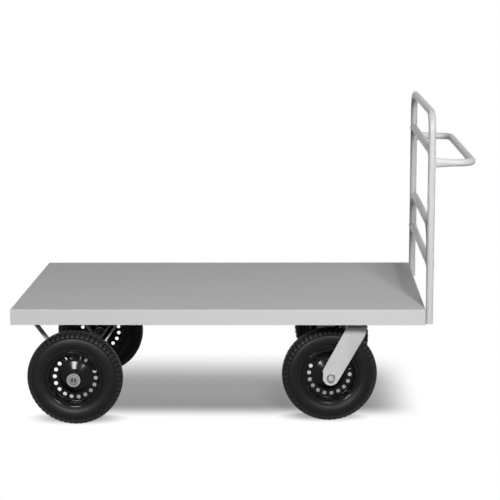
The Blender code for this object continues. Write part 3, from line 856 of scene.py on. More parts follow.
class Recipe(NodeGraph):
    """Geometry Nodes tree with named inputs, which grows a plain mesh from a seed object."""

    def __init__(self, name: str) -> None:
        """Start a tree.

        Args:
            name: Name of the tree.
        """
        super().__init__(bpy.data.node_groups.new(name, "GeometryNodeTree"))
        for way in ("INPUT", "OUTPUT"):
            kind = "NodeSocketGeometry"
            self.tree.interface.new_socket("Geometry", in_out=way, socket_type=kind)
        self.given = self.add("NodeGroupInput")
        self.identifiers: dict[str, str] = {}

    def take(self, name: str, default: float | None) -> Socket:
        """Add a named input.

        Args:
            name: Name of the input.
            default: Number that it has when none is given, or None for a material.

        Returns:
            The socket that gives the input inside the tree.
        """
        kind = "NodeSocketMaterial" if default is None else SOCKET_KINDS[type(default)]
        item = self.tree.interface.new_socket(name, in_out="INPUT", socket_type=kind)
        if default is not None:
            item.default_value = default
        self.identifiers[name] = item.identifier
        return self.given.outputs[name]

    def path(self) -> Socket:
        """The seed's edges as a curve."""
        seed = self.given.outputs["Geometry"]
        return self.add("GeometryNodeMeshToCurve", {"Mesh": seed}).outputs[0]

    def sweep(self, path: Feed, radius: Feed, sides: Feed, extra: dict) -> Socket:
        """Sweep a round section along a curve and close its ends.

        Args:
            path: The curve.
            radius: Radius of the section.
            sides: Points round the section.
            extra: More inputs of the sweep.

        Returns:
            The swept mesh.
        """
        circle_inputs = {"Radius": radius, "Resolution": sides}
        section = self.add("GeometryNodeCurvePrimitiveCircle", circle_inputs).outputs[0]
        inputs = {"Curve": path, "Profile Curve": section, "Fill Caps": True, **extra}
        return self.add("GeometryNodeCurveToMesh", inputs).outputs[0]

    def copies(self, points: Feed, extra: dict) -> Socket:
        """The seed's mesh at each of some points."""
        inputs = {"Points": points, "Instance": self.given.outputs["Geometry"], **extra}
        return self.add("GeometryNodeInstanceOnPoints", inputs).outputs[0]

    def close(self, geometry: Socket) -> "Recipe":
        """End the tree: realise instances and set the material.

        Args:
            geometry: What the tree has made.

        Returns:
            The same recipe.
        """
        material = self.take("Material", None)
        real = self.add("GeometryNodeRealizeInstances", {"Geometry": geometry}).outputs[0]
        dressed = self.add("GeometryNodeSetMaterial", {"Geometry": real, "Material": material})
        self.add("NodeGroupOutput", {0: dressed.outputs[0]})
        return self

    def grow(self, seed: Piece, values: dict, finish: Finish, place: Matrix = AT_ORIGIN) -> Piece:
        """Run the tree on a seed and make the result a plain piece.

        Args:
            seed: Object that the tree starts from; it is used up.
            values: Input name to value.
            finish: Finish of the result.
            place: Where the result goes.

        Returns:
            The finished piece, under the seed's name.
        """
        modifier = seed.modifiers.new("recipe", "NODES")
        modifier.node_group = self.tree
        for name, value in values.items():
            modifier[self.identifiers[name]] = value
        modifier[self.identifiers["Material"]] = finish.material()
        mesh = applied_mesh(seed)
        name = seed.name
        seed.modifiers.remove(modifier)
        bpy.data.objects.remove(seed)
        mesh.transform(place)
        return place_mesh(name, mesh, [finish])


def ring_recipe() -> Recipe:
    """Tree that repeats a mesh round the Y axis and joins what touches.

    Returns:
        The recipe, with the inputs Count, Start and Join.
    """
    recipe = Recipe("repeat_round_axis")
    count = recipe.take("Count", 12)
    start = recipe.take("Start", 0.0)
    join = recipe.take("Join", 0.00001)
    points = recipe.add("GeometryNodePoints", {"Count": count}).outputs[0]
    index = recipe.add("GeometryNodeInputIndex").outputs[0]
    step = recipe.maths("DIVIDE", math.tau, count)
    angle = recipe.maths("ADD", recipe.maths("MULTIPLY", index, step), start)
    turn = recipe.add("ShaderNodeCombineXYZ", {1: angle}).outputs[0]
    copies = recipe.copies(points, {"Rotation": turn})
    real = recipe.add("GeometryNodeRealizeInstances", {"Geometry": copies}).outputs[0]
    joined = recipe.add("GeometryNodeMergeByDistance", {"Geometry": real, "Distance": join})
    return recipe.close(joined.outputs[0])


def corners_recipe() -> Recipe:
    """Tree that puts a mesh at the four corners of a level rectangle.

    Returns:
        The recipe, with the inputs Length and Width.
    """
    recipe = Recipe("repeat_at_corners")
    length = recipe.take("Length", 0.1)
    width = recipe.take("Width", 0.08)
    inputs = {"Size X": length, "Size Y": width, "Vertices X": 2, "Vertices Y": 2}
    grid = recipe.add("GeometryNodeMeshGrid", inputs)
    return recipe.close(recipe.copies(grid.outputs[0], {}))


def tube_recipe() -> Recipe:
    """Tree that sweeps a round section along a line of edges.

    Returns:
        The recipe, with the inputs Radius and Sides.
    """
    recipe = Recipe("round_tube")
    radius = recipe.take("Radius", 0.015)
    sides = recipe.take("Sides", 40)
    return recipe.close(recipe.sweep(recipe.path(), radius, sides, {}))


def bead_recipe() -> Recipe:
    """Tree that lays a rippled weld bead along a line of edges.

    Returns:
        The recipe, with the inputs Radius, Pitch and Seed.
    """
    steps_per_ripple, ripple_depth, sides = 5.0, 0.12, 10
    drift_scale, drift_depth = 160.0, 0.7
    recipe = Recipe("weld_bead")
    radius = recipe.take("Radius", 0.003)
    pitch = recipe.take("Pitch", 0.0022)
    seed = recipe.take("Seed", 0.0)
    inputs = {"Curve": recipe.path(), "Length": recipe.maths("DIVIDE", pitch, steps_per_ripple)}
    fine = recipe.add("GeometryNodeResampleCurve", inputs, mode="LENGTH").outputs[0]
    along = recipe.add("GeometryNodeSplineParameter").outputs["Length"]
    phase = recipe.maths("MULTIPLY", recipe.maths("DIVIDE", along, pitch), math.tau)
    wave = recipe.maths("MULTIPLY", recipe.maths("SINE", phase), ripple_depth)
    place = recipe.add("GeometryNodeInputPosition").outputs[0]
    inputs = {"Vector": place, "W": seed, "Scale": drift_scale, "Detail": 2.0}
    noise = recipe.add("ShaderNodeTexNoise", inputs, noise_dimensions="4D").outputs[0]
    drift = recipe.maths("MULTIPLY", recipe.maths("SUBTRACT", noise, 0.5), drift_depth)
    size = recipe.maths("ADD", recipe.maths("ADD", 1.0, wave), drift)
    shaped = recipe.add("GeometryNodeSetCurveRadius", {"Curve": fine, "Radius": size}).outputs[0]
    return recipe.close(recipe.sweep(shaped, radius, sides, {"Scale": size}))


@dataclass(frozen=True)
class Recipes:
    """The trees that the sub-assemblies share."""

    ring: Recipe
    corners: Recipe
    tube: Recipe
    bead: Recipe

    def weld(
        self,
        name: str,
        seams: Sequence[Sequence[Vector]],
        radius: float,
        seed: float = 0.0,
        closed: bool = False,
    ) -> None:
        """Lay coated weld beads on the cart's frame.

        Args:
            name: Name of the piece that holds them.
            seams: The points of each seam.
            radius: Radius of the beads.
            seed: Seed of their unevenness.
            closed: Whether each seam joins its own start.
        """
        values = {"Radius": radius, "Seed": seed}
        beads = self.bead.grow(line_object(name, seams, closed), values, WELD_COAT)
        register(beads, CART_FRAME)


def line_object(name: str, lines: Sequence[Sequence[Vector]], closed: bool = False) -> Piece:
    """Object of plain edges for a recipe to follow.

    Args:
        name: Name of the object.
        lines: Each line's points in order.
        closed: Whether each line joins its own start.

    Returns:
        The object.
    """
    points: list[Vector] = []
    edges: list[tuple[int, int]] = []
    for line in lines:
        first = len(points)
        points.extend(line)
        edges.extend((first + k, first + k + 1) for k in range(len(line) - 1))
        if closed:
            edges.append((first + len(line) - 1, first))
    mesh = bpy.data.meshes.new(name)
    mesh.from_pydata(points, edges, [])
    return link_object(name, mesh)


def bent_line(corners: Sequence[Vector], bend: float, steps: int = 14) -> list[Vector]:
    """Line through right-angled corners, each rounded.

    Args:
        corners: Corner points, ends included.
        bend: Radius of the bends.
        steps: Steps in each bend.

    Returns:
        The points of the line.
    """
    points = [corners[0]]
    for before, corner, after in zip(corners, corners[1:], corners[2:]):
        inward = (corner - before).normalized()
        outward = (after - corner).normalized()
        centre = corner + (outward - inward) * bend
        for across, along in arc((0.0, 0.0), bend, 0.0, math.pi / 2, steps):
            points.append(centre - outward * across + inward * along)
    points.append(corners[-1])
    return points


def saddle_line(radius: float, other: float, steps: int) -> list[Vector]:
    """Seam where a tube along +Y meets the side of an upright tube at the origin.

    Args:
        radius: Radius of the tube that ends there.
        other: Radius of the upright tube.
        steps: Points round the seam.

    Returns:
        The closed seam, with the ending tube coming from +Y.
    """
    points = []
    for x, z in circle(radius, steps):
        points.append(Vector((x, math.sqrt(max(other * other - x * x, 0.0)), z)))
    return points


# Sub-assemblies


@dataclass
class DeckTray:
    """Sheet folded down on four sides, with welded corners."""

    left: float = DECK_LEFT
    right: float = DECK_RIGHT
    half_width: float = DECK_HALF_WIDTH
    top: float = DECK_TOP
    skirt: float = DECK_SKIRT
    sheet: float = SHEET
    fold: float = 0.0035
    fold_steps: int = 5
    inner_fold: float = 0.001
    flat_beside_fold: float = 0.002
    cut_edge: float = 0.0006
    corner: float = 0.0030
    least_corner: float = 0.0008
    corner_steps: int = 4
    weld_inset: float = 0.0008
    weld_foot: float = 0.004
    weld_radius: float = 0.0016

    def loop(self, inset: float, height: float) -> list[Vector]:
        """Rounded rectangle that lies a way inside the deck's outline.

        Args:
            inset: How far inside.
            height: Height above the floor.

        Returns:
            The points of the loop.
        """
        rounding = max(self.corner - inset, self.least_corner)
        low_x, high_x = self.left + inset + rounding, self.right - inset - rounding
        reach = self.half_width - inset - rounding
        centres = [(high_x, reach), (low_x, reach), (low_x, -reach), (high_x, -reach)]
        points = []
        for quarter, centre in enumerate(centres):
            start = quarter * math.pi / 2
            for u, v in arc(centre, rounding, start, start + math.pi / 2, self.corner_steps):
                points.append(Vector((u, v + DECK_Y, height)))
        return points

    def build(self, recipes: Recipes) -> None:
        """Build the tray and the welds inside its corners.

        Args:
            recipes: The shared trees.
        """
        shape = Shape()
        bottom = self.top - self.skirt
        under = self.top - self.sheet
        start = self.top - self.fold
        cut, flat, root = self.cut_edge, self.flat_beside_fold, self.inner_fold
        profile = [(cut, bottom), (0.0, bottom + cut), (0.0, start - flat)]
        bow = arc((0.0, start), self.fold, 0.0, math.pi / 2, self.fold_steps)
        profile += [(self.fold - u, w) for u, w in bow]
        turn = len(profile)
        profile += [(self.fold + flat, self.top), (self.sheet + 2 * flat, under)]
        profile += [(self.sheet + root, under), (self.sheet, under - root)]
        profile += [(self.sheet, bottom + cut), (self.sheet - cut, bottom)]
        rows = [shape.ring(self.loop(inset, height)) for inset, height in profile]
        for step, (first, second) in enumerate(zip(rows, rows[1:])):
            if step != turn:
                shape.bridge(first, second)
        shape.bridge(rows[-1], rows[0])
        shape.bm.faces.new(rows[turn])
        shape.bm.faces.new(rows[turn + 1])
        tray = steady_normals(shape.finish("deck_sheet", [POWDER_COAT], 50.0))
        register(tray, CART_FRAME, ["deck_tray"])
        inside = self.sheet + self.weld_inset
        seams = []
        for x in (self.left + inside, self.right - inside):
            for side in Side:
                y = DECK_Y + side.value * (self.half_width - inside)
                heights = (bottom + self.weld_foot, under - root)
                seams.append([Vector((x, y, z)) for z in heights])
        recipes.weld("deck_corner_welds", seams, self.weld_radius)


@dataclass
class UnderFrame:
    """Box-section rails and beams under the sheet, with their welds."""

    wall: float = 0.002
    rounding: float = 0.004
    corner_steps: int = 4
    weld_gap: float = 0.0008
    weld_low: float = BEAM_BOTTOM + 0.0005
    weld_high: float = BEAM_TOP - 0.004
    weld_radius: float = 0.0028
    rails: tuple[str, ...] = ("rail_near", "rail_far")
    cross_members: tuple[str, ...] = ("cross_member_axle", "cross_member_middle")
    end_beams: tuple[str, ...] = ("castor_beam_inner", "castor_beam_outer", "end_beam")

    def tube(self, name: str) -> Piece:
        """Open box tube in the place of one node.

        Args:
            name: Name of the node.

        Returns:
            The tube.
        """
        low, high = (Vector(corner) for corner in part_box(name))
        middle, half = (low + high) / 2, (high - low) / 2
        along_x = half.x > half.y
        reach, across = (half.x, half.y) if along_x else (half.y, half.x)
        shape = Shape()
        rows = []
        for along, inset in ((-reach, 0.0), (reach, 0.0), (reach, self.wall), (-reach, self.wall)):
            size = (across - inset, half.z - inset)
            section = rounded_rectangle(size, self.rounding - inset, self.corner_steps)
            points = [(along, u, w) if along_x else (u, along, w) for u, w in section]
            rows.append(shape.ring(middle + Vector(point) for point in points))
        for first, second in zip(rows, rows[1:] + rows[:1]):
            shape.bridge(first, second)
        return steady_normals(shape.finish("box_" + name, [POWDER_COAT], 40.0))

    def round_end(self, x: float, y: float) -> list[Vector]:
        """Open seam round the sides and the underside of a cross member's end.

        Args:
            x: Middle of the cross member.
            y: Place of its end.

        Returns:
            The points of the seam.
        """
        half = BEAM_WIDTH / 2 + self.weld_gap
        corners = [(x - half, self.weld_high), (x - half, self.weld_low)]
        corners += [(x + half, self.weld_low), (x + half, self.weld_high)]
        return [Vector((u, y, w)) for u, w in corners]

    def welds(self, recipes: Recipes) -> None:
        """Beads where the beams meet the rails and the skirts.

        Args:
            recipes: The shared trees.
        """
        seams = []
        for name in self.cross_members:
            near, far = (Vector(corner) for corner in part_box(name))
            seams += [self.round_end((near.x + far.x) / 2, y) for y in (near.y, far.y)]
        inner_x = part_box("castor_beam_inner")[0][0]
        for name in self.rails:
            near, far = (Vector(corner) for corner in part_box(name))
            for y in (near.y - self.weld_gap, far.y + self.weld_gap):
                seams.append([Vector((inner_x, y, z)) for z in (self.weld_high, self.weld_low)])
        recipes.weld("frame_welds", seams, self.weld_radius, seed=3.0)

    def build(self, recipes: Recipes) -> None:
        """Build the tubes and their welds.

        Args:
            recipes: The shared trees.
        """
        for name in self.rails + self.cross_members + self.end_beams:
            register(self.tube(name), CART_FRAME, [name])
        self.welds(recipes)


@dataclass
class HandleFrame:
    """Bent hoop, cross tubes, arched inner hoop and push loop of round tube."""

    x: float = POST_X
    reach: float = POST_REACH
    radius: float = TUBE_RADIUS
    tube_sides: int = 40
    foot: float = 0.448
    top: float = 1.3045
    bend: float = 0.075
    upper: float = 1.149
    inner_top: float = 0.846
    inner_bend: float = 0.085
    lower: float = 0.691
    cope: float = 0.2
    push: float = 1.108
    push_bend: float = 0.060
    push_x: float = 0.933
    flattened: float = 0.075
    flattened_steps: int = 10
    squeeze: Point2 = (0.55, 1.27)
    seam_radius: float = 0.0024
    seam_steps: int = 40
    stitch_radius: float = 0.0026
    post_stitch_reach: float = 0.0095
    post_stitch_margin: float = 0.008
    post_stitch_gap: float = 0.0015
    post_stitch_heights: Point2 = (0.450, 0.503)
    leg_stitch_reach: float = 0.0045
    leg_stitch_heights: Point2 = (0.712, 0.742)
    plug_section: Section = (
        (0.0, -0.0005), (0.0122, -0.0005), (0.0128, -0.0001), (0.0128, 0.0050), (0.0, 0.0050),
    )

    def arch(self, half_span: float, foot: float, top: float, bend: float) -> list[Vector]:
        """Path of an upright hoop, from the foot of one leg to the foot of the other."""
        corners = [(-half_span, foot), (-half_span, top), (half_span, top), (half_span, foot)]
        return bent_line([Vector((self.x, y + DECK_Y, z)) for y, z in corners], bend)

    def bar(self, height: float) -> list[Vector]:
        """Path of a cross tube, whose ends reach a little into the posts' sides."""
        half = self.reach - self.radius * self.cope
        return [Vector((self.x, y + DECK_Y, height)) for y in (-half, half)]

    def push_path(self) -> list[Vector]:
        """Path of the push loop, in short steps where its ends are flattened.

        Returns:
            The points of the path.
        """
        corners = [(self.x, -self.reach), (self.push_x, -self.reach)]
        corners += [(self.push_x, self.reach), (self.x, self.reach)]
        bent = bent_line([Vector((x, y + DECK_Y, self.push)) for x, y in corners], self.push_bend)
        count = self.flattened_steps
        outs = [self.radius + self.flattened * k / count for k in range(count + 1)]
        steps = [Vector((out, 0.0, 0.0)) for out in outs]
        near, far = bent[0], bent[0] + Vector((0.0, 2 * self.reach, 0.0))
        path = [near] + [near + step for step in steps] + bent[1:-1]
        return path + [far + step for step in reversed(steps)] + [far]

    def flatten(self, loop: Piece) -> None:
        """Press the push loop's ends against the posts.

        Args:
            loop: The push loop.
        """
        start = self.x + self.radius
        for vertex in loop.data.vertices:
            share = 1.0 - min(max((vertex.co.x - start) / self.flattened, 0.0), 1.0)
            share = share * share * (3.0 - 2.0 * share)
            middle = DECK_Y + math.copysign(self.reach, vertex.co.y - DECK_Y)
            if share > 0.0:
                narrow = 1.0 + (self.squeeze[0] - 1.0) * share
                tall = 1.0 + (self.squeeze[1] - 1.0) * share
                vertex.co.y = middle + (vertex.co.y - middle) * narrow
                vertex.co.z = self.push + (vertex.co.z - self.push) * tall

    def seams(self) -> list[list[Vector]]:
        """Closed seams of every tube that ends on another.

        Returns:
            The seams.
        """
        post = self.radius + GAP
        saddle = saddle_line(self.radius, post, self.seam_steps)
        wide, tall = self.radius * self.squeeze[0], self.radius * self.squeeze[1]
        result = []
        for side in Side:
            face = AT_ORIGIN if side is Side.NEAR else HALF_TURN
            y = DECK_Y + side.value * self.reach
            for height in (self.upper, self.lower):
                place = Matrix.Translation((self.x, y, height)) @ face
                result.append([place @ point for point in saddle])
            leg_y = y - side.value * (2 * self.radius + GAP)
            leg = Matrix.Translation((self.x, leg_y, self.lower)) @ UPRIGHT
            result.append([leg @ point for point in saddle])
            flat = []
            for across, height in circle(1.0, self.seam_steps):
                out = math.sqrt(post * post - (wide * across) ** 2)
                flat.append(Vector((self.x + out, y + wide * across, self.push + tall * height)))
            result.append(flat)
        return result

    def stitches(self) -> list[list[Vector]]:
        """Open seams along the posts, on the deck's end and beside the inner hoop's legs.

        Returns:
            The seams.
        """
        result = []
        for side in Side:
            y = DECK_Y + side.value * self.reach
            for across in (-self.post_stitch_reach, self.post_stitch_reach):
                if abs(y + across - DECK_Y) < DECK_HALF_WIDTH - self.post_stitch_margin:
                    spot = (DECK_RIGHT + self.post_stitch_gap, y + across)
                    result.append([Vector((*spot, z)) for z in self.post_stitch_heights])
            touch = y - side.value * (self.radius + GAP / 2)
            for x in (self.x - self.leg_stitch_reach, self.x + self.leg_stitch_reach):
                result.append([Vector((x, touch, z)) for z in self.leg_stitch_heights])
        return result

    def plugs(self) -> None:
        """Plastic plugs in the open feet of the posts."""
        for side in Side:
            spot = (self.x, DECK_Y + side.value * self.reach, self.foot)
            shape = Shape()
            shape.turn(self.plug_section, Facets.SHANK, Matrix.Translation(spot) @ UPRIGHT)
            plug = shape.finish("foot_plug_" + side.label, [PLUG_PLASTIC])
            register(plug, CART_FRAME)

    def build(self, recipes: Recipes) -> None:
        """Build the tubes, their welds and their plugs.

        Args:
            recipes: The shared trees.
        """
        legs = self.reach - 2 * self.radius - GAP
        paths = {
            "handle_hoop": self.arch(self.reach, self.foot, self.top, self.bend),
            "inner_hoop": self.arch(legs, self.lower, self.inner_top, self.inner_bend),
            "upper_cross_tube": self.bar(self.upper),
            "lower_cross_tube": self.bar(self.lower),
            "push_loop": self.push_path(),
        }
        values = {"Radius": self.radius, "Sides": self.tube_sides}
        for name, path in paths.items():
            tube = recipes.tube.grow(line_object("tube_" + name, [path]), values, TUBE_COAT)
            if name == "push_loop":
                self.flatten(tube)
            register(tube, CART_FRAME, [name])
        recipes.weld("handle_welds", self.seams(), self.seam_radius, seed=7.0, closed=True)
        recipes.weld("handle_stitches", self.stitches(), self.stitch_radius, seed=9.0)
        self.plugs()


@dataclass
class FixedAxle:
    """Through axle, the bent straps that carry it, its end washers and screws.

    The sections of its ends are points as (radius, way out from the washer's inner face).
    """

    x: float = -0.700
    height: float = AXLE_HEIGHT
    wheel_reach: float = 0.397
    bar_radius: float = 0.014
    bar_chamfer: float = 0.001
    axle_radius: float = 0.010
    axle_chamfer: float = 0.0008
    strap_width: float = 0.040
    strap_thickness: float = 0.008
    strap_edge: float = 0.0008
    strap_steps: int = 20
    slope: float = math.radians(35.5)
    weld_radius: float = 0.0026
    weld_steps: int = 12
    washer_section: Section = (
        (0.0053, 0.0000), (0.0286, 0.0000), (0.0290, 0.0005), (0.0290, 0.0040), (0.0280, 0.0050),
        (0.0225, 0.0050), (0.0222, 0.0046), (0.0212, 0.0046), (0.0209, 0.0050), (0.0196, 0.0050),
        (0.0186, 0.0063), (0.0176, 0.0065), (0.0109, 0.0065), (0.0101, 0.0058), (0.0101, 0.0020),
        (0.0053, 0.0020),
    )
    boss_step: int = 9
    stem_section: Section = (
        (0.0000, -0.0210), (0.0045, -0.0210), (0.0050, -0.0205), (0.0050, 0.0023),
        (0.0098, 0.0023), (0.0098, 0.0037), (0.0000, 0.0037),
    )
    slot_step: int = 5
    screw_radius: float = 0.0098
    screw_top: float = 0.0057
    slot_floor: float = 0.0037
    slot_width: float = 0.0026
    slot_overlap: float = 0.0002

    def bar(self) -> None:
        """Build the stepped axle."""
        end = self.wheel_reach + HUB_HALF
        shoulder = end - 2 * HUB_HALF - GAP
        half = [(0.0, end), (self.axle_radius - self.axle_chamfer, end)]
        half += [(self.axle_radius, end - self.axle_chamfer), (self.axle_radius, shoulder)]
        half += [(self.bar_radius - self.bar_chamfer, shoulder)]
        half += [(self.bar_radius, shoulder - self.bar_chamfer)]
        profile = half + [(radius, -along) for radius, along in reversed(half)]
        shape = Shape()
        shape.turn(profile, Facets.WASHER, Matrix.Translation((self.x, DECK_Y, self.height)))
        register(shape.finish("axle_bar", [ZINC]), CART_FRAME, ["fixed_axle"])

    def leg_top(self, distance: float) -> float:
        """Way along X to where a face this far from the axle's middle meets the under-frame."""
        top = BEAM_BOTTOM - GAP - self.height
        return distance / math.cos(self.slope) + top * math.tan(self.slope)

    def strap(self, side: Side, recipes: Recipes) -> None:
        """Build one bent strap and its welds.

        Args:
            side: Side of the cart.
            recipes: The shared trees.
        """
        inner = self.bar_radius + GAP
        outer = inner + self.strap_thickness
        top = BEAM_BOTTOM - GAP - self.height
        inner_top, outer_top = self.leg_top(inner), self.leg_top(outer)
        below = arc((0.0, 0.0), outer, -self.slope, self.slope - math.pi, self.strap_steps)
        above = arc((0.0, 0.0), inner, self.slope - math.pi, -self.slope, self.strap_steps)
        outline = [(outer_top, top)] + below + [(-outer_top, top)]
        outline += [(-inner_top, top)] + above + [(inner_top, top)]
        middle = DECK_Y + side.value * RAIL_REACH
        half = self.strap_width / 2
        shape = Shape()
        shape.extrude(outline, -half, half, Matrix.Translation((self.x, middle, self.height)))
        strap = shape.finish("strap_" + side.label, [POWDER_COAT])
        soften(strap, self.strap_edge)
        register(strap, CART_FRAME, ["axle_strap_" + side.label])
        seams = []
        for across in (-half, half):
            y = middle + across
            turn = [math.pi + k * math.pi / self.weld_steps for k in range(self.weld_steps + 1)]
            around = [(inner * math.cos(a), inner * math.sin(a)) for a in turn]
            seams.append([Vector((self.x + u, y, self.height + w)) for u, w in around])
            for way in (-1, 1):
                ends = (inner_top * way, outer_top * way)
                seams.append([Vector((self.x + u, y, BEAM_BOTTOM)) for u in ends])
        recipes.weld("strap_welds_" + side.label, seams, self.weld_radius, seed=12.0 + side.value)

    def end(self, side: Side) -> None:
        """Build the washer and the slotted screw that hold one wheel on.

        Args:
            side: Side of the cart.
        """
        face = self.wheel_reach + HUB_HALF + GAP
        place = Matrix.Translation((self.x, DECK_Y, self.height))
        if side is Side.NEAR:
            place = place @ HALF_TURN
        shape = Shape()
        profile = [(radius, face + out) for radius, out in self.washer_section]
        shape.turn(profile, Facets.HUB, place, lambda step: int(step >= self.boss_step))
        washer = shape.finish("washer_" + side.label, [WASHER_FACE, WASHER_BOSS])
        register(washer, CART_FRAME, ["axle_washer_" + side.label])

        shape = Shape()
        stem = [(radius, face + out) for radius, out in self.stem_section]
        shape.turn(stem, Facets.SCREW, place, lambda step: int(step >= self.slot_step))
        start = math.asin(self.slot_width / 2 / self.screw_radius)
        quarter = math.pi / 2
        low, high = face + self.slot_floor - self.slot_overlap, face + self.screw_top
        for way in (0.0, math.pi):
            first, last = way - quarter + start, way + quarter - start
            shape.extrude(arc((0.0, 0.0), self.screw_radius, first, last, 20), low, high, place)
        screw = shape.finish("screw_" + side.label, [DARK_SCREW, ZINC])
        register(screw, CART_FRAME, ["axle_screw_" + side.label])

    def build(self, recipes: Recipes) -> None:
        """Build the bar, both straps and both ends.

        Args:
            recipes: The shared trees.
        """
        self.bar()
        for side in Side:
            self.strap(side, recipes)
            self.end(side)


class DiscSide(NamedTuple):
    """Open edges of one side of a sector of a pierced disc."""

    hole: Loop
    inner: Loop
    outer: Loop


def polar_row(shape: Shape, spots: Iterable[Point2], along: float) -> Loop:
    """Add vertices at spots given as (radius, angle), this far towards -Y."""
    return shape.ring((r * math.cos(a), -along, r * math.sin(a)) for r, a in spots)


@dataclass
class Wheel:
    """Pneumatic wheel: block-tread tyre, pressed rim, hub, bearings and valve.

    It is built with its outer side towards -Y, then put in its place. Its sections are points
    as (radius, along the axle), and the rows of its tread blocks are stations across the tread,
    as (along the axle, radius of the foot, radius of the top).
    """

    label: str
    place: Matrix
    hole_phase: float
    valve_turn: float
    segments: int = 144
    carcass_half: Section = (
        (0.1968, 0.0000), (0.1966, 0.0100), (0.1960, 0.0170), (0.1935, 0.0240), (0.1890, 0.0287),
        (0.1845, 0.0335), (0.1808, 0.0375), (0.1785, 0.0407), (0.1758, 0.0437), (0.1728, 0.0454),
        (0.1685, 0.0467), (0.1640, 0.0477), (0.1590, 0.0484), (0.1530, 0.0487), (0.1465, 0.0483),
        (0.1410, 0.0472), (0.1360, 0.0455), (0.1318, 0.0436), (0.1300, 0.0426), (0.1284, 0.0420),
        (0.1276, 0.0426), (0.1262, 0.0424), (0.1256, 0.0412), (0.1235, 0.0404), (0.1216, 0.0385),
        (0.1074, 0.0320), (0.1074, 0.0225), (0.1300, 0.0330), (0.1460, 0.0410), (0.1720, 0.0350),
        (0.1860, 0.0250), (0.1880, 0.0000),
    )
    block_count: int = 56
    shoulder_rows: tuple[Point3, ...] = (
        (0.0155, 0.1890, 0.1975), (0.0165, 0.1890, 0.1992), (0.0240, 0.1880, 0.1970),
        (0.0310, 0.1830, 0.1920), (0.0350, 0.1800, 0.1868), (0.0375, 0.1780, 0.1832),
        (0.0388, 0.1765, 0.1805),
    )
    shoulder_share: float = 0.33
    shoulder_skew: float = 0.06
    crown_rows: tuple[Point3, ...] = (
        (0.0008, 0.1900, 0.1983), (0.0018, 0.1900, 0.2000), (0.0122, 0.1900, 0.1996),
        (0.0132, 0.1900, 0.1980),
    )
    crown_share: float = 0.36
    crown_skew: float = 0.25
    block_edge: float = 0.0012
    block_flat: float = 0.90
    block_flare: float = 1.08
    hole_count: int = 18
    hole_ring: float = 0.086
    hole_radius: float = 0.0082
    hole_lip: Section = ((0.0030, 0.0), (0.0012, 0.0), (0.0004, 0.0003), (0.0000, 0.0010))
    disc_half: float = 0.00125
    disc_inner: float = 0.0718
    disc_outer: float = 0.1002
    disc_edge: float = 0.1020
    fold_centre: Point2 = (0.1015, 0.00425)
    fold_radius: float = 0.0030
    well_lip: Point2 = (0.1045, 0.0300)
    seat_centre: Point2 = (0.1125, 0.0345)
    seat_radius: float = 0.0080
    flange: Section = ((0.1140, 0.0400), (0.1175, 0.0412))
    bead_centre: Point2 = (0.1184, 0.0396)
    bead_radius: float = 0.0020
    flange_back: Section = (
        (0.1150, 0.0378), (0.1100, 0.0360), (0.1076, 0.0330), (0.1070, 0.0300), (0.1068, 0.0150),
    )
    cone: Section = (
        (0.0700, 0.00125), (0.0682, 0.00145), (0.0665, 0.00225), (0.0410, 0.0127),
        (0.0382, 0.0137), (0.0350, 0.0145), (0.0318, 0.0150), (0.0293, 0.0152),
    )
    rim_join: float = 0.00002
    hub_radius: float = 0.029
    hub_edge: float = 0.0008
    hub_collar: Section = ((0.029, 0.0195), (0.031, 0.0170), (0.029, 0.0148), (0.029, 0.0130))
    bearing_radius: float = 0.0235
    bearing_inset: float = 0.0005
    bearing_section: Section = (
        (0.0103, -0.0140), (0.0103, -0.0006), (0.0109, 0.0000), (0.0136, 0.0000),
        (0.0138, -0.0008), (0.0200, -0.0008), (0.0202, 0.0000), (0.0229, 0.0000),
        (0.0235, -0.0006), (0.0235, -0.0140),
    )
    seal_step: int = 4
    valve_offset: float = 0.0125
    valve_base: Section = (
        (0.0000, 0.1105), (0.0080, 0.1105), (0.0080, 0.1076), (0.0062, 0.1056), (0.0058, 0.1040),
        (0.0050, 0.1010), (0.0046, 0.0985), (0.0000, 0.0985),
    )
    valve_stem: Section = (
        (0.0000, 0.0990), (0.0036, 0.0990), (0.0036, 0.0925), (0.0039, 0.0922), (0.0043, 0.0915),
        (0.0043, 0.0800), (0.0037, 0.0788), (0.0000, 0.0786),
    )

    @property
    def body(self) -> str:
        """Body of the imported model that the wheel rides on."""
        return "wheel_" + self.label

    def block(self, name: str, angles: Point2, rows: Sequence[Point3], skew: float) -> Piece:
        """Seed of one tread block round the Y axis.

        Args:
            name: Name of the seed.
            angles: Middle and half width of the block, as angles.
            rows: Stations across the tread.
            skew: Turn of the block from its first row to its last.

        Returns:
            The seed object.
        """
        middle, half = angles
        shape = Shape()
        loops = []
        for number, (along, foot, top) in enumerate(rows):
            shift = skew * number / (len(rows) - 1)
            side = [(foot, self.block_flare), (top - self.block_edge, 1.0), (top, self.block_flat)]
            outline = [(radius, -share) for radius, share in side] + [(top, 0.0)] + side[::-1]
            points = []
            for radius, share in outline:
                angle = middle + shift + half * share
                points.append(Vector((radius * math.cos(angle), along, radius * math.sin(angle))))
            loops.append(shape.ring(points))
        for first, second in zip(loops, loops[1:]):
            shape.bridge(first, second)
        for loop in (loops[0], loops[-1]):
            shape.bm.faces.new(loop)
        return shape.seed(name)

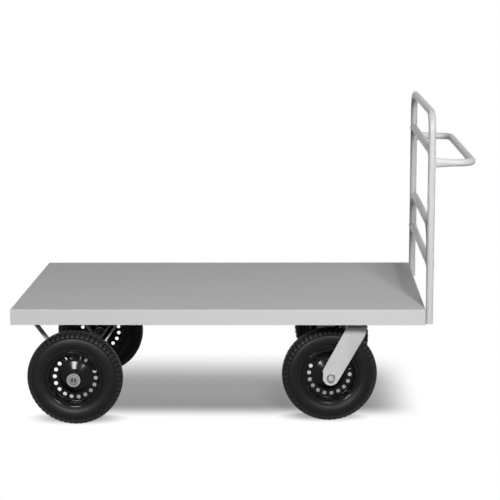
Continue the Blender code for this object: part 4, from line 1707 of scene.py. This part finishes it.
    def tyre(self, recipes: Recipes) -> None:
        """Build the carcass and the rings of blocks on it.

        Args:
            recipes: The shared trees.
        """
        inner_half = [(radius, -along) for radius, along in reversed(self.carcass_half[1:-1])]
        shape = Shape()
        shape.turn([*self.carcass_half, *inner_half], self.segments, self.place)
        carcass = shape.finish("carcass_" + self.label, [SIDEWALL_RUBBER], 60.0)
        register(carcass, self.body, ["tyre_" + self.label])
        pitch = math.tau / self.block_count
        shoulder = (0.0, self.shoulder_share * pitch)
        crown = (pitch / 2, self.crown_share * pitch)
        kinds = (
            ("shoulder", self.shoulder_rows, shoulder, self.shoulder_skew * pitch),
            ("crown", self.crown_rows, crown, self.crown_skew * pitch),
        )
        for way, half_name, start in ((-1, "outer", 0.0), (1, "inner", pitch / 2)):
            values = {"Count": self.block_count, "Start": start}
            for kind, rows, angles, skew in kinds:
                sided = [(way * along, foot, top) for along, foot, top in rows]
                name = f"tread_{kind}_{half_name}_{self.label}"
                seed = self.block(name, angles, sided, skew)
                blocks = recipes.ring.grow(seed, values, TREAD_RUBBER, self.place)
                register(blocks, self.body)

    def rim_rows(self) -> tuple[list[Point2], list[Point2]]:
        """Sections of the rim outside and inside its ring of holes.

        Returns:
            The outer section from the disc's front to its back, and the inner one likewise.
        """
        front = [(self.disc_edge, self.disc_half)]
        front += arc(self.fold_centre, self.fold_radius, -math.pi / 2, 0.0, 4)
        front.append(self.well_lip)
        front += arc(self.seat_centre, self.seat_radius, math.pi, math.pi * 0.70, 5)
        front += self.flange
        front += arc(self.bead_centre, self.bead_radius, math.pi * 0.6, -math.pi * 0.25, 7)
        front += self.flange_back
        outer = front + [(radius, -along) for radius, along in reversed(front)]
        back = [(radius, along - 2 * self.disc_half) for radius, along in reversed(self.cone)]
        return outer, [*self.cone, *back]

    def disc_side(self, shape: Shape, along: float, spans: Sequence[float]) -> DiscSide:
        """Add one side of a sector of the disc, with the rolled lip of its hole.

        Args:
            shape: Where it goes.
            along: Half of the disc's thickness, below 0 for its back.
            spans: Angles of the sector's steps.

        Returns:
            The side's open edges.
        """
        steps = len(spans) - 1
        low, high = self.disc_inner, self.disc_outer
        rise = [low + (high - low) * k / steps for k in range(steps + 1)]
        border = [(low, angle) for angle in spans]
        border += [(radius, spans[-1]) for radius in rise[1:]]
        border += [(high, angle) for angle in reversed(spans[:-1])]
        border += [(radius, spans[0]) for radius in reversed(rise[1:-1])]
        loops = [polar_row(shape, border, along)]
        way = math.copysign(1.0, along)
        for grow, drop in self.hole_lip:
            points = []
            for radius, angle in border:
                u, w = radius * math.cos(angle) - self.hole_ring, radius * math.sin(angle)
                reach = (self.hole_radius + grow) / math.hypot(u, w)
                points.append((self.hole_ring + u * reach, way * drop - along, w * reach))
            loops.append(shape.ring(points))
        for first, second in zip(loops, loops[1:]):
            shape.bridge(first, second)
        edge = loops[0]
        outer = edge[2 * steps : 3 * steps + 1]
        return DiscSide(loops[-1], edge[: steps + 1], outer[::-1])

    def rim(self, recipes: Recipes) -> None:
        """Build one sector of the rim round a hole and repeat it.

        Args:
            recipes: The shared trees.
        """
        steps = self.segments // self.hole_count
        half_sector = math.pi / self.hole_count
        spans = [-half_sector + 2 * half_sector * k / steps for k in range(steps + 1)]
        shape = Shape()
        front = self.disc_side(shape, self.disc_half, spans)
        back = self.disc_side(shape, -self.disc_half, spans)
        shape.bridge(front.hole, back.hole)
        outer, inner = self.rim_rows()
        sides = ((outer, front.outer, back.outer), (inner, front.inner, back.inner))
        for section, first, last in sides:
            rows = [first]
            for radius, along in section:
                rows.append(polar_row(shape, [(radius, angle) for angle in spans], along))
            rows.append(last)
            for one, other in zip(rows, rows[1:]):
                for k in range(steps):
                    shape.bm.faces.new((one[k], one[k + 1], other[k + 1], other[k]))
        values = {"Count": self.hole_count, "Start": -self.hole_phase, "Join": self.rim_join}
        seed = shape.seed("pressing_" + self.label)
        rim = recipes.ring.grow(seed, values, RIM_GLOSS, self.place)
        rim.data.set_sharp_from_angle(angle=math.radians(50.0))
        register(rim, self.body, ["rim_" + self.label])

    def core(self) -> None:
        """Build the hub and its two sealed bearings."""
        bore = self.bearing_radius + GAP
        ends = [(bore, HUB_HALF - self.hub_edge), (bore + self.hub_edge, HUB_HALF)]
        ends += [(self.hub_radius - self.hub_edge, HUB_HALF)]
        ends += [(self.hub_radius, HUB_HALF - self.hub_edge)]
        profile = [(radius, -along) for radius, along in [*ends, *self.hub_collar]]
        profile += reversed(ends)
        shape = Shape()
        shape.turn(profile, Facets.HUB, self.place)
        hub = shape.finish("hub_tube_" + self.label, [HUB_BLACK])
        register(hub, self.body, ["hub_" + self.label])
        face = HUB_HALF - self.bearing_inset
        for way, end in ((-1, "outer"), (1, "inner")):
            rows = [(radius, way * (face + out)) for radius, out in self.bearing_section]
            shape = Shape()
            shape.turn(
                rows, Facets.BEARING, self.place, lambda step: int(step == self.seal_step)
            )
            name = f"bearing_ring_{end}_{self.label}"
            bearing = shape.finish(name, [ZINC, SEAL_RUBBER])
            register(bearing, self.body, [f"bearing_{self.label}_{end}"])

    def valve(self) -> None:
        """Build the snap-in valve: rubber base, metal stem and cap."""
        turn = Matrix.Rotation(self.valve_turn, 4, "Y")
        turn = turn @ Matrix.Translation((0.0, -self.valve_offset, 0.0))
        place = self.place @ turn @ UPRIGHT
        shape = Shape()
        shape.turn(self.valve_base, Facets.CAP, place)
        foot = shape.finish("valve_base_" + self.label, [SIDEWALL_RUBBER])
        register(foot, self.body, ["valve_" + self.label])
        shape = Shape()
        shape.turn(self.valve_stem, Facets.STEM, place)
        cap = shape.finish("valve_stem_" + self.label, [VALVE_METAL])
        register(cap, self.body)

    def build(self, recipes: Recipes) -> None:
        """Build the whole wheel.

        Args:
            recipes: The shared trees.
        """
        self.tyre(recipes)
        self.rim(recipes)
        self.core()
        self.valve()


@dataclass
class Castor:
    """Swivel castor: plate with its bolts, ball race, king pin, pressed fork and axle.

    Its sections are points as (radius, way from the face that they start at).
    """

    side: Side
    swivel: float
    x: float = 0.472
    reach: float = 0.325
    trail: float = 0.108
    plate_top: float = BEAM_BOTTOM - GAP
    plate_thickness: float = 0.008
    plate_half: Point2 = (0.078, 0.060)
    plate_corner: float = 0.008
    plate_edge: float = 0.0007
    bolt_spacing: Point2 = (0.126, 0.092)
    bolt_washer: Section = (
        (0.0058, 0.0000), (0.0098, 0.0000), (0.0100, 0.0003), (0.0100, 0.0017), (0.0098, 0.0020),
        (0.0058, 0.0020),
    )
    bolt_nut_flats: float = 0.017
    bolt_nut_ends: Point2 = (0.0021, 0.0100)
    bolt_radius: float = 0.0050
    bolt_thread: Section = (
        (0.0000, 0.0000), (0.0050, 0.0000), (0.0050, 0.0122), (0.0042, 0.0130), (0.0000, 0.0130),
    )
    upper_race: Section = (
        (0.0240, 0.0000), (0.0455, 0.0000), (0.0462, -0.0008), (0.0462, -0.0062),
        (0.0452, -0.0070), (0.0440, -0.0072), (0.0400, -0.0080), (0.0240, -0.0080),
    )
    lower_race: Section = (
        (0.0240, 0.0000), (0.0440, 0.0000), (0.0452, 0.0008), (0.0456, 0.0070), (0.0448, 0.0080),
        (0.0400, 0.0094), (0.0240, 0.0100),
    )
    seal_radii: Point2 = (0.0250, 0.0435)
    seal_insets: Point2 = (0.0090, 0.0075)
    pin_washer: Section = (
        (0.0000, -0.0020), (0.0165, -0.0020), (0.0169, -0.0016), (0.0169, 0.0000),
        (0.0000, 0.0000),
    )
    pin_radius: float = 0.010
    pin_start: float = 0.001
    pin_end: float = 0.0002
    pin_nut_flats: float = 0.024
    pin_nut_ends: Point2 = (0.0020, 0.0090)
    pin_head_flats: float = 0.028
    pin_head_ends: Point2 = (0.0003, 0.0100)
    crown_top: float = 0.418
    crown_half: float = 0.040
    fork_thickness: float = 0.008
    fork_inner: float = 0.058
    fork_foot: float = 0.034
    fork_foot_steps: int = 28
    fork_rake: float = math.radians(30.0)
    fork_folds: Point2 = (0.012, 0.004)
    fork_edge: float = 0.0011
    shoulder_insets: Point2 = (0.010, 0.003)
    shoulder_rises: Point2 = (0.018, 0.036)
    cutter_foot: float = 0.1
    cutter_reach: float = 0.3
    axle_radius: float = 0.010
    axle_chamfer: float = 0.0012
    axle_tip: float = 0.020
    axle_overlap: float = 0.001
    washer_radius: float = 0.0178
    washer_thickness: float = 0.0020
    nut_flats: float = 0.029
    head_top: float = 0.0145
    nut_top: float = 0.016
    nut_bore: float = 0.0102
    head_tip: Section = (
        (0.0000, 0.0000), (0.0100, 0.0000), (0.0100, -0.0034), (0.0086, -0.0048),
        (0.0000, -0.0048),
    )
    bush_radii: Point2 = (0.0103, 0.0150)
    bush_edge: float = 0.0004

    @property
    def head(self) -> Matrix:
        """Place of the swivel axis at floor level, unturned."""
        return Matrix.Translation((self.x, DECK_Y + self.side.value * self.reach, 0.0))

    @property
    def fork_place(self) -> Matrix:
        """Place of the fork at floor level, trailing towards -X."""
        return self.head @ Matrix.Rotation(self.swivel, 4, "Z")

    @property
    def wheel_place(self) -> Matrix:
        """Place of the wheel's centre, with its outer side towards -Y."""
        flip = AT_ORIGIN if self.side is Side.NEAR else HALF_TURN
        return self.fork_place @ Matrix.Translation((-self.trail, 0.0, AXLE_HEIGHT)) @ flip

    def plate(self, recipes: Recipes) -> None:
        """Build the top plate and its four bolts.

        Args:
            recipes: The shared trees.
        """
        label = self.side.label
        under = self.plate_top - self.plate_thickness
        outline = rounded_rectangle(self.plate_half, self.plate_corner, 6)
        shape = Shape()
        shape.extrude(outline, under, self.plate_top, self.head @ UPRIGHT)
        plate = shape.finish("mounting_plate_" + label, [POWDER_COAT])
        soften(plate, self.plate_edge)
        register(plate, CART_FRAME, ["castor_plate_" + label])

        shape = Shape()
        shape.turn(self.bolt_washer, Facets.SHANK)
        shape.hexagon(self.bolt_nut_flats, *self.bolt_nut_ends, self.bolt_radius, AT_ORIGIN)
        shape.turn(self.bolt_thread, Facets.STEM)
        seed = shape.finish("plate_bolts_" + label, [ZINC])
        seed.data.transform(Matrix.Rotation(-math.pi / 2, 4, "X"))
        values = {"Length": self.bolt_spacing[0], "Width": self.bolt_spacing[1]}
        place = self.head @ Matrix.Translation((0.0, 0.0, under))
        bolts = recipes.corners.grow(seed, values, ZINC, place)
        register(bolts, CART_FRAME)

    def race(self) -> None:
        """Build the two halves of the ball race and the seal between them."""
        label = self.side.label
        place = self.head @ UPRIGHT
        low = self.crown_top + GAP
        high = self.plate_top - self.plate_thickness - GAP
        shape = Shape()
        for section, start in ((self.upper_race, high), (self.lower_race, low)):
            rows = [(radius, start + rise) for radius, rise in section]
            shape.turn(rows, Facets.RACE, place)
        race = shape.finish("ball_race_" + label, [ZINC])
        register(race, CART_FRAME, ["castor_race_" + label])
        inner, outer = self.seal_radii
        bottom, top = low + self.seal_insets[0], high - self.seal_insets[1]
        shape = Shape()
        rows = [(inner, bottom), (outer, bottom), (outer, top), (inner, top)]
        shape.turn(rows, Facets.SCREW, place)
        seal = shape.finish("race_seal_" + label, [SEAL_RUBBER])
        register(seal, CART_FRAME)

    def king_pin(self) -> None:
        """Build the bolt on which the fork swivels, with its washer and nut."""
        label = self.side.label
        place = self.head @ UPRIGHT
        below = self.crown_top - self.fork_thickness - GAP
        shape = Shape()
        washer = [(radius, below + rise) for radius, rise in self.pin_washer]
        shape.turn(washer, Facets.WASHER, place)
        start, end = (below - out for out in self.pin_nut_ends)
        shape.hexagon(self.pin_nut_flats, start, end, 0.0, place)
        low, high = below - self.pin_start, self.plate_top + self.pin_end
        shank = [(0.0, low), (self.pin_radius, low), (self.pin_radius, high), (0.0, high)]
        shape.turn(shank, Facets.SHANK, place)
        start, end = (self.plate_top + out for out in self.pin_head_ends)
        shape.hexagon(self.pin_head_flats, start, end, 0.0, place)
        pin = shape.finish("king_bolt_" + label, [ZINC])
        register(pin, CART_FRAME, ["king_pin_" + label])

    def fork_outline(self) -> list[Point2]:
        """Side view of the fork, with the floor below its axis as the origin.

        Returns:
            The points, as (x, z).
        """
        foot_radius, rake, half = self.fork_foot, self.fork_rake, self.crown_half
        axle = (-self.trail, AXLE_HEIGHT)
        outline = arc(axle, foot_radius, math.pi, math.tau - rake, self.fork_foot_steps)
        foot = Vector(outline[-1])
        climb = Vector((math.sin(rake), math.cos(rake)))
        start_inset, middle_inset = self.shoulder_insets
        turn_in = foot + climb * ((half - start_inset - foot.x) / climb.x)
        middle_rise, end_rise = self.shoulder_rises
        outline.append(tuple(turn_in))
        outline.append((half - middle_inset, turn_in.y + middle_rise))
        outline.append((half, turn_in.y + end_rise))
        outline += [(half, self.crown_top), (-half, self.crown_top)]
        rise = (-half - axle[0] + foot_radius) / math.tan(rake)
        outline.append((axle[0] - foot_radius, self.crown_top - self.fork_thickness - rise))
        return outline

    def fork_section(self) -> list[Point2]:
        """Section of the fork across its legs, an upside-down U with rounded folds.

        Returns:
            The points, as (across, up).
        """
        outer = self.fork_inner + self.fork_thickness
        sides = []
        for half, top, fold in (
            (outer, self.crown_top, self.fork_folds[0]),
            (self.fork_inner, self.crown_top - self.fork_thickness, self.fork_folds[1]),
        ):
            right = arc((half - fold, top - fold), fold, 0.0, math.pi / 2, 10)
            sides.append(right + [(-x, z) for x, z in reversed(right)])
        foot = self.cutter_foot
        section = [(outer, foot)] + sides[0] + [(-outer, foot), (-self.fork_inner, foot)]
        return section + sides[1][::-1] + [(self.fork_inner, foot)]

    def fork(self) -> None:
        """Build the pressed fork: its side view, cut to its section."""
        outer = self.fork_inner + self.fork_thickness
        name = "pressed_fork_" + self.side.label
        shape = Shape()
        shape.extrude(self.fork_outline(), -outer, outer)
        fork = shape.finish(name, [FORK_COAT])
        shape = Shape()
        quarter_turn = Matrix.Rotation(math.pi / 2, 4, "Z")
        shape.extrude(self.fork_section(), -self.cutter_reach, self.cutter_reach, quarter_turn)
        cutter = shape.finish("fork_section", [FORK_COAT])
        trim = fork.modifiers.new("section", "BOOLEAN")
        trim.operation = "INTERSECT"
        trim.object = cutter
        trim.solver = "EXACT"
        soften(fork, self.fork_edge, 25.0)
        mesh = applied_mesh(fork)
        mesh.transform(self.fork_place)
        for used in (fork, cutter):
            bpy.data.objects.remove(used)
        piece = place_mesh(name, mesh, [FORK_COAT], 30.0)
        label = self.side.label
        register(piece, "fork_assembly_" + label, ["fork_" + label])

    def axle(self) -> None:
        """Build the axle bolt and its nut, each with its washer."""
        label = self.side.label
        body = "fork_assembly_" + label
        place = self.wheel_place
        outer = self.fork_inner + self.fork_thickness + GAP
        radius, chamfer = self.axle_radius, self.axle_chamfer
        seat = outer + self.washer_thickness
        tip, start, head = outer + self.axle_tip, -outer - self.axle_overlap, -outer - self.head_top
        shape = Shape()
        shank = [(0.0, tip), (radius - chamfer, tip), (radius, tip - chamfer)]
        shank += [(radius, start), (0.0, start)]
        shape.turn(shank, Facets.SHANK, place, lambda step: 1)
        rim = self.washer_radius
        washer = [(0.0, -outer), (rim, -outer), (rim, -seat), (0.0, -seat)]
        shape.turn(washer, Facets.WASHER, place)
        shape.hexagon(self.nut_flats, -seat, head, 0.0, place)
        end = [(radius, head + out) for radius, out in self.head_tip]
        shape.turn(end, Facets.SHANK, place, lambda step: 1)
        bolt = shape.finish("axle_bolt_" + label, [NUT_STEEL, ZINC])
        register(bolt, body, ["castor_axle_bolt_" + label])
        bore = self.axle_radius + GAP
        shape = Shape()
        washer = [(bore, outer), (rim, outer), (rim, seat), (bore, seat)]
        shape.turn(washer, Facets.WASHER, place)
        shape.hexagon(self.nut_flats, seat, outer + self.nut_top, self.nut_bore, place)
        nut = shape.finish("axle_nut_" + label, [NUT_STEEL])
        register(nut, body, ["castor_axle_nut_" + label])

    def bushes(self) -> None:
        """Build the two spacers between the hub and the fork's legs."""
        label = self.side.label
        near, far = HUB_HALF + GAP, self.fork_inner - GAP
        bore, radius = self.bush_radii
        edge = self.bush_edge
        rows = [(bore, near), (radius - edge, near), (radius, near + edge)]
        rows += [(radius, far - edge), (radius - edge, far), (bore, far)]
        for way, end in ((-1, "outer"), (1, "inner")):
            shape = Shape()
            sided = [(r, way * along) for r, along in rows]
            shape.turn(sided, Facets.WASHER, self.wheel_place)
            spacer = shape.finish(f"spacer_bush_{end}_{label}", [ZINC])
            node = f"castor_spacer_{label}_{end}"
            register(spacer, "fork_assembly_" + label, [node])

    def build(self, recipes: Recipes) -> None:
        """Build everything but the wheel.

        Args:
            recipes: The shared trees.
        """
        self.plate(recipes)
        self.race()
        self.king_pin()
        self.fork()
        self.axle()
        self.bushes()


class Reach(Enum):
    """What a light acts on."""

    MATTE = "matte shading only"
    SHINE = "reflections only"


@dataclass(frozen=True)
class Lamp:
    """Rectangular soft light."""

    name: str
    place: Point3
    aim: Point3
    size: Point2
    power: float
    reach: Reach
    spares_floor: bool = False

    def build(self) -> None:
        """Add the light to the scene, with the floor left out where the light spares it."""
        data = bpy.data.lights.new(self.name, "AREA")
        data.shape = "RECTANGLE"
        data.size, data.size_y = self.size
        data.energy = self.power
        lamp = bpy.data.objects.new(self.name, data)
        lamp.visible_glossy = self.reach is Reach.SHINE
        lamp.visible_diffuse = self.reach is Reach.MATTE
        bpy.context.scene.collection.objects.link(lamp)
        direction = Vector(self.aim) - Vector(self.place)
        turn = direction.to_track_quat("-Z", "Y").to_matrix().to_4x4()
        lamp.matrix_world = Matrix.Translation(self.place) @ turn
        if self.spares_floor:
            spared = bpy.data.collections.new(self.name + "_spares")
            spared.objects.link(bpy.data.objects["floor"])
            lamp.light_linking.receiver_collection = spared
            spared.collection_objects[0].light_linking.link_state = "EXCLUDE"


@dataclass
class Studio:
    """White studio: pale floor, soft lights and the camera."""

    eye: Point3 = (0.2376, -6.21135, 1.8894)
    yaw: float = -0.03426
    pitch: float = 0.19577
    roll: float = -0.0076
    focal_pixels: float = 1439.66
    image_pixels: float = 500.0
    sensor: float = 36.0
    shift: Point2 = (-0.0014, 0.0)
    clip_end: float = 200.0
    floor_size: float = 60.0
    surround: float = 0.10
    lamps: tuple[Lamp, ...] = (
        Lamp("shine_left", (-1.45, -4.2, 2.2), (0.0, 0.0, 0.4), (1.00, 1.20), 430.0, Reach.SHINE),
        Lamp("shine_key", (2.6, -7.2, 4.2), (0.0, 0.0, 0.4), (2.2, 2.2), 880.0, Reach.SHINE),
        Lamp("front_key", (1.7, -7.6, 4.8), (0.0, 0.0, 0.4), (2.1, 1.5), 895.0, Reach.MATTE),
        Lamp("back_fill", (-1.0, 9.0, 0.5), (0.0, 0.0, 0.45), (5.0, 0.5), 520.0, Reach.MATTE, True),
    )

    def camera(self) -> None:
        """Add the camera."""
        ahead, aside = math.cos(self.yaw), math.sin(self.yaw)
        level, drop = math.cos(self.pitch), math.sin(self.pitch)
        right = Vector((ahead, -aside, 0.0))
        forward = Vector((aside * level, ahead * level, -drop))
        up = right.cross(forward)
        across = right * math.cos(self.roll) + up * math.sin(self.roll)
        above = up * math.cos(self.roll) - right * math.sin(self.roll)
        data = bpy.data.cameras.new("camera")
        data.sensor_width = self.sensor
        data.lens = self.focal_pixels / self.image_pixels * self.sensor
        data.shift_x, data.shift_y = self.shift
        data.clip_end = self.clip_end
        camera = bpy.data.objects.new("camera", data)
        bpy.context.scene.collection.objects.link(camera)
        matrix = Matrix((across, above, -forward)).transposed().to_4x4()
        matrix.translation = Vector(self.eye)
        camera.matrix_world = matrix
        bpy.context.scene.camera = camera

    def floor(self) -> None:
        """Add the floor, pale, with a painted shadow under the cart."""
        half = self.floor_size / 2
        mesh = bpy.data.meshes.new("floor")
        corners = [(-half, -half), (half, -half), (half, half), (-half, half)]
        mesh.from_pydata([Vector((x, y, 0.0)) for x, y in corners], [], [(0, 1, 2, 3)])
        floor = place_mesh("floor", mesh, [FLOOR])

    def world(self) -> None:
        """Plain white surroundings, dimmer as a light than as seen."""
        world = bpy.data.worlds.new("studio")
        world.use_nodes = True
        graph = NodeGraph(world.node_tree)
        graph.tree.nodes.clear()
        light, seen = (
            graph.add("ShaderNodeBackground", {"Color": WHITE, "Strength": strength}).outputs[0]
            for strength in (self.surround, 1.0)
        )
        inputs = {0: seen_directly(graph), 1: light, 2: seen}
        both = graph.add("ShaderNodeMixShader", inputs)
        graph.add("ShaderNodeOutputWorld", {"Surface": both.outputs[0]})
        bpy.context.scene.world = world

    def build(self) -> None:
        """Build the camera, the floor, the surroundings and the lights."""
        self.camera()
        self.floor()
        self.world()
        for lamp in self.lamps:
            lamp.build()
        bpy.context.scene.view_settings.view_transform = "Standard"


def wheels(axle: FixedAxle, near: Castor, far: Castor) -> list[Wheel]:
    """The four wheels, each in its place.

    Args:
        axle: The fixed axle.
        near: The near castor.
        far: The far castor.

    Returns:
        The wheels that roll on the fixed axle and in the castors.
    """
    valve, castor_valve = math.radians(18.0), math.radians(32.0)
    near_spot, far_spot = (
        Matrix.Translation((axle.x, DECK_Y + side.value * axle.wheel_reach, axle.height))
        for side in Side
    )
    rows = (
        ("fixed_near", near_spot, 17.88, valve),
        ("fixed_far", far_spot @ HALF_TURN, 180.0 - 11.01, -valve),
        ("castor_near", near.wheel_place, 16.05, castor_valve),
        ("castor_far", far.wheel_place, 180.0 - 6.0, -castor_valve),
    )
    return [
        Wheel(label, place, math.radians(phase), valve_turn)
        for label, place, phase, valve_turn in rows
    ]


def main() -> None:
    """Build the cart's looks, then the studio round it."""
    logging.basicConfig(level=logging.INFO, format="%(name)s: %(message)s")
    recipes = Recipes(ring_recipe(), corners_recipe(), tube_recipe(), bead_recipe())
    axle = FixedAxle()
    near = Castor(Side.NEAR, math.radians(5.0))
    far = Castor(Side.FAR, math.radians(-38.0))
    parts = [DeckTray(), UnderFrame(), HandleFrame(), axle, near, far, *wheels(axle, near, far)]
    for part in parts:
        part.build(recipes)
    Studio().build()


if __name__ == "__main__":
    main()
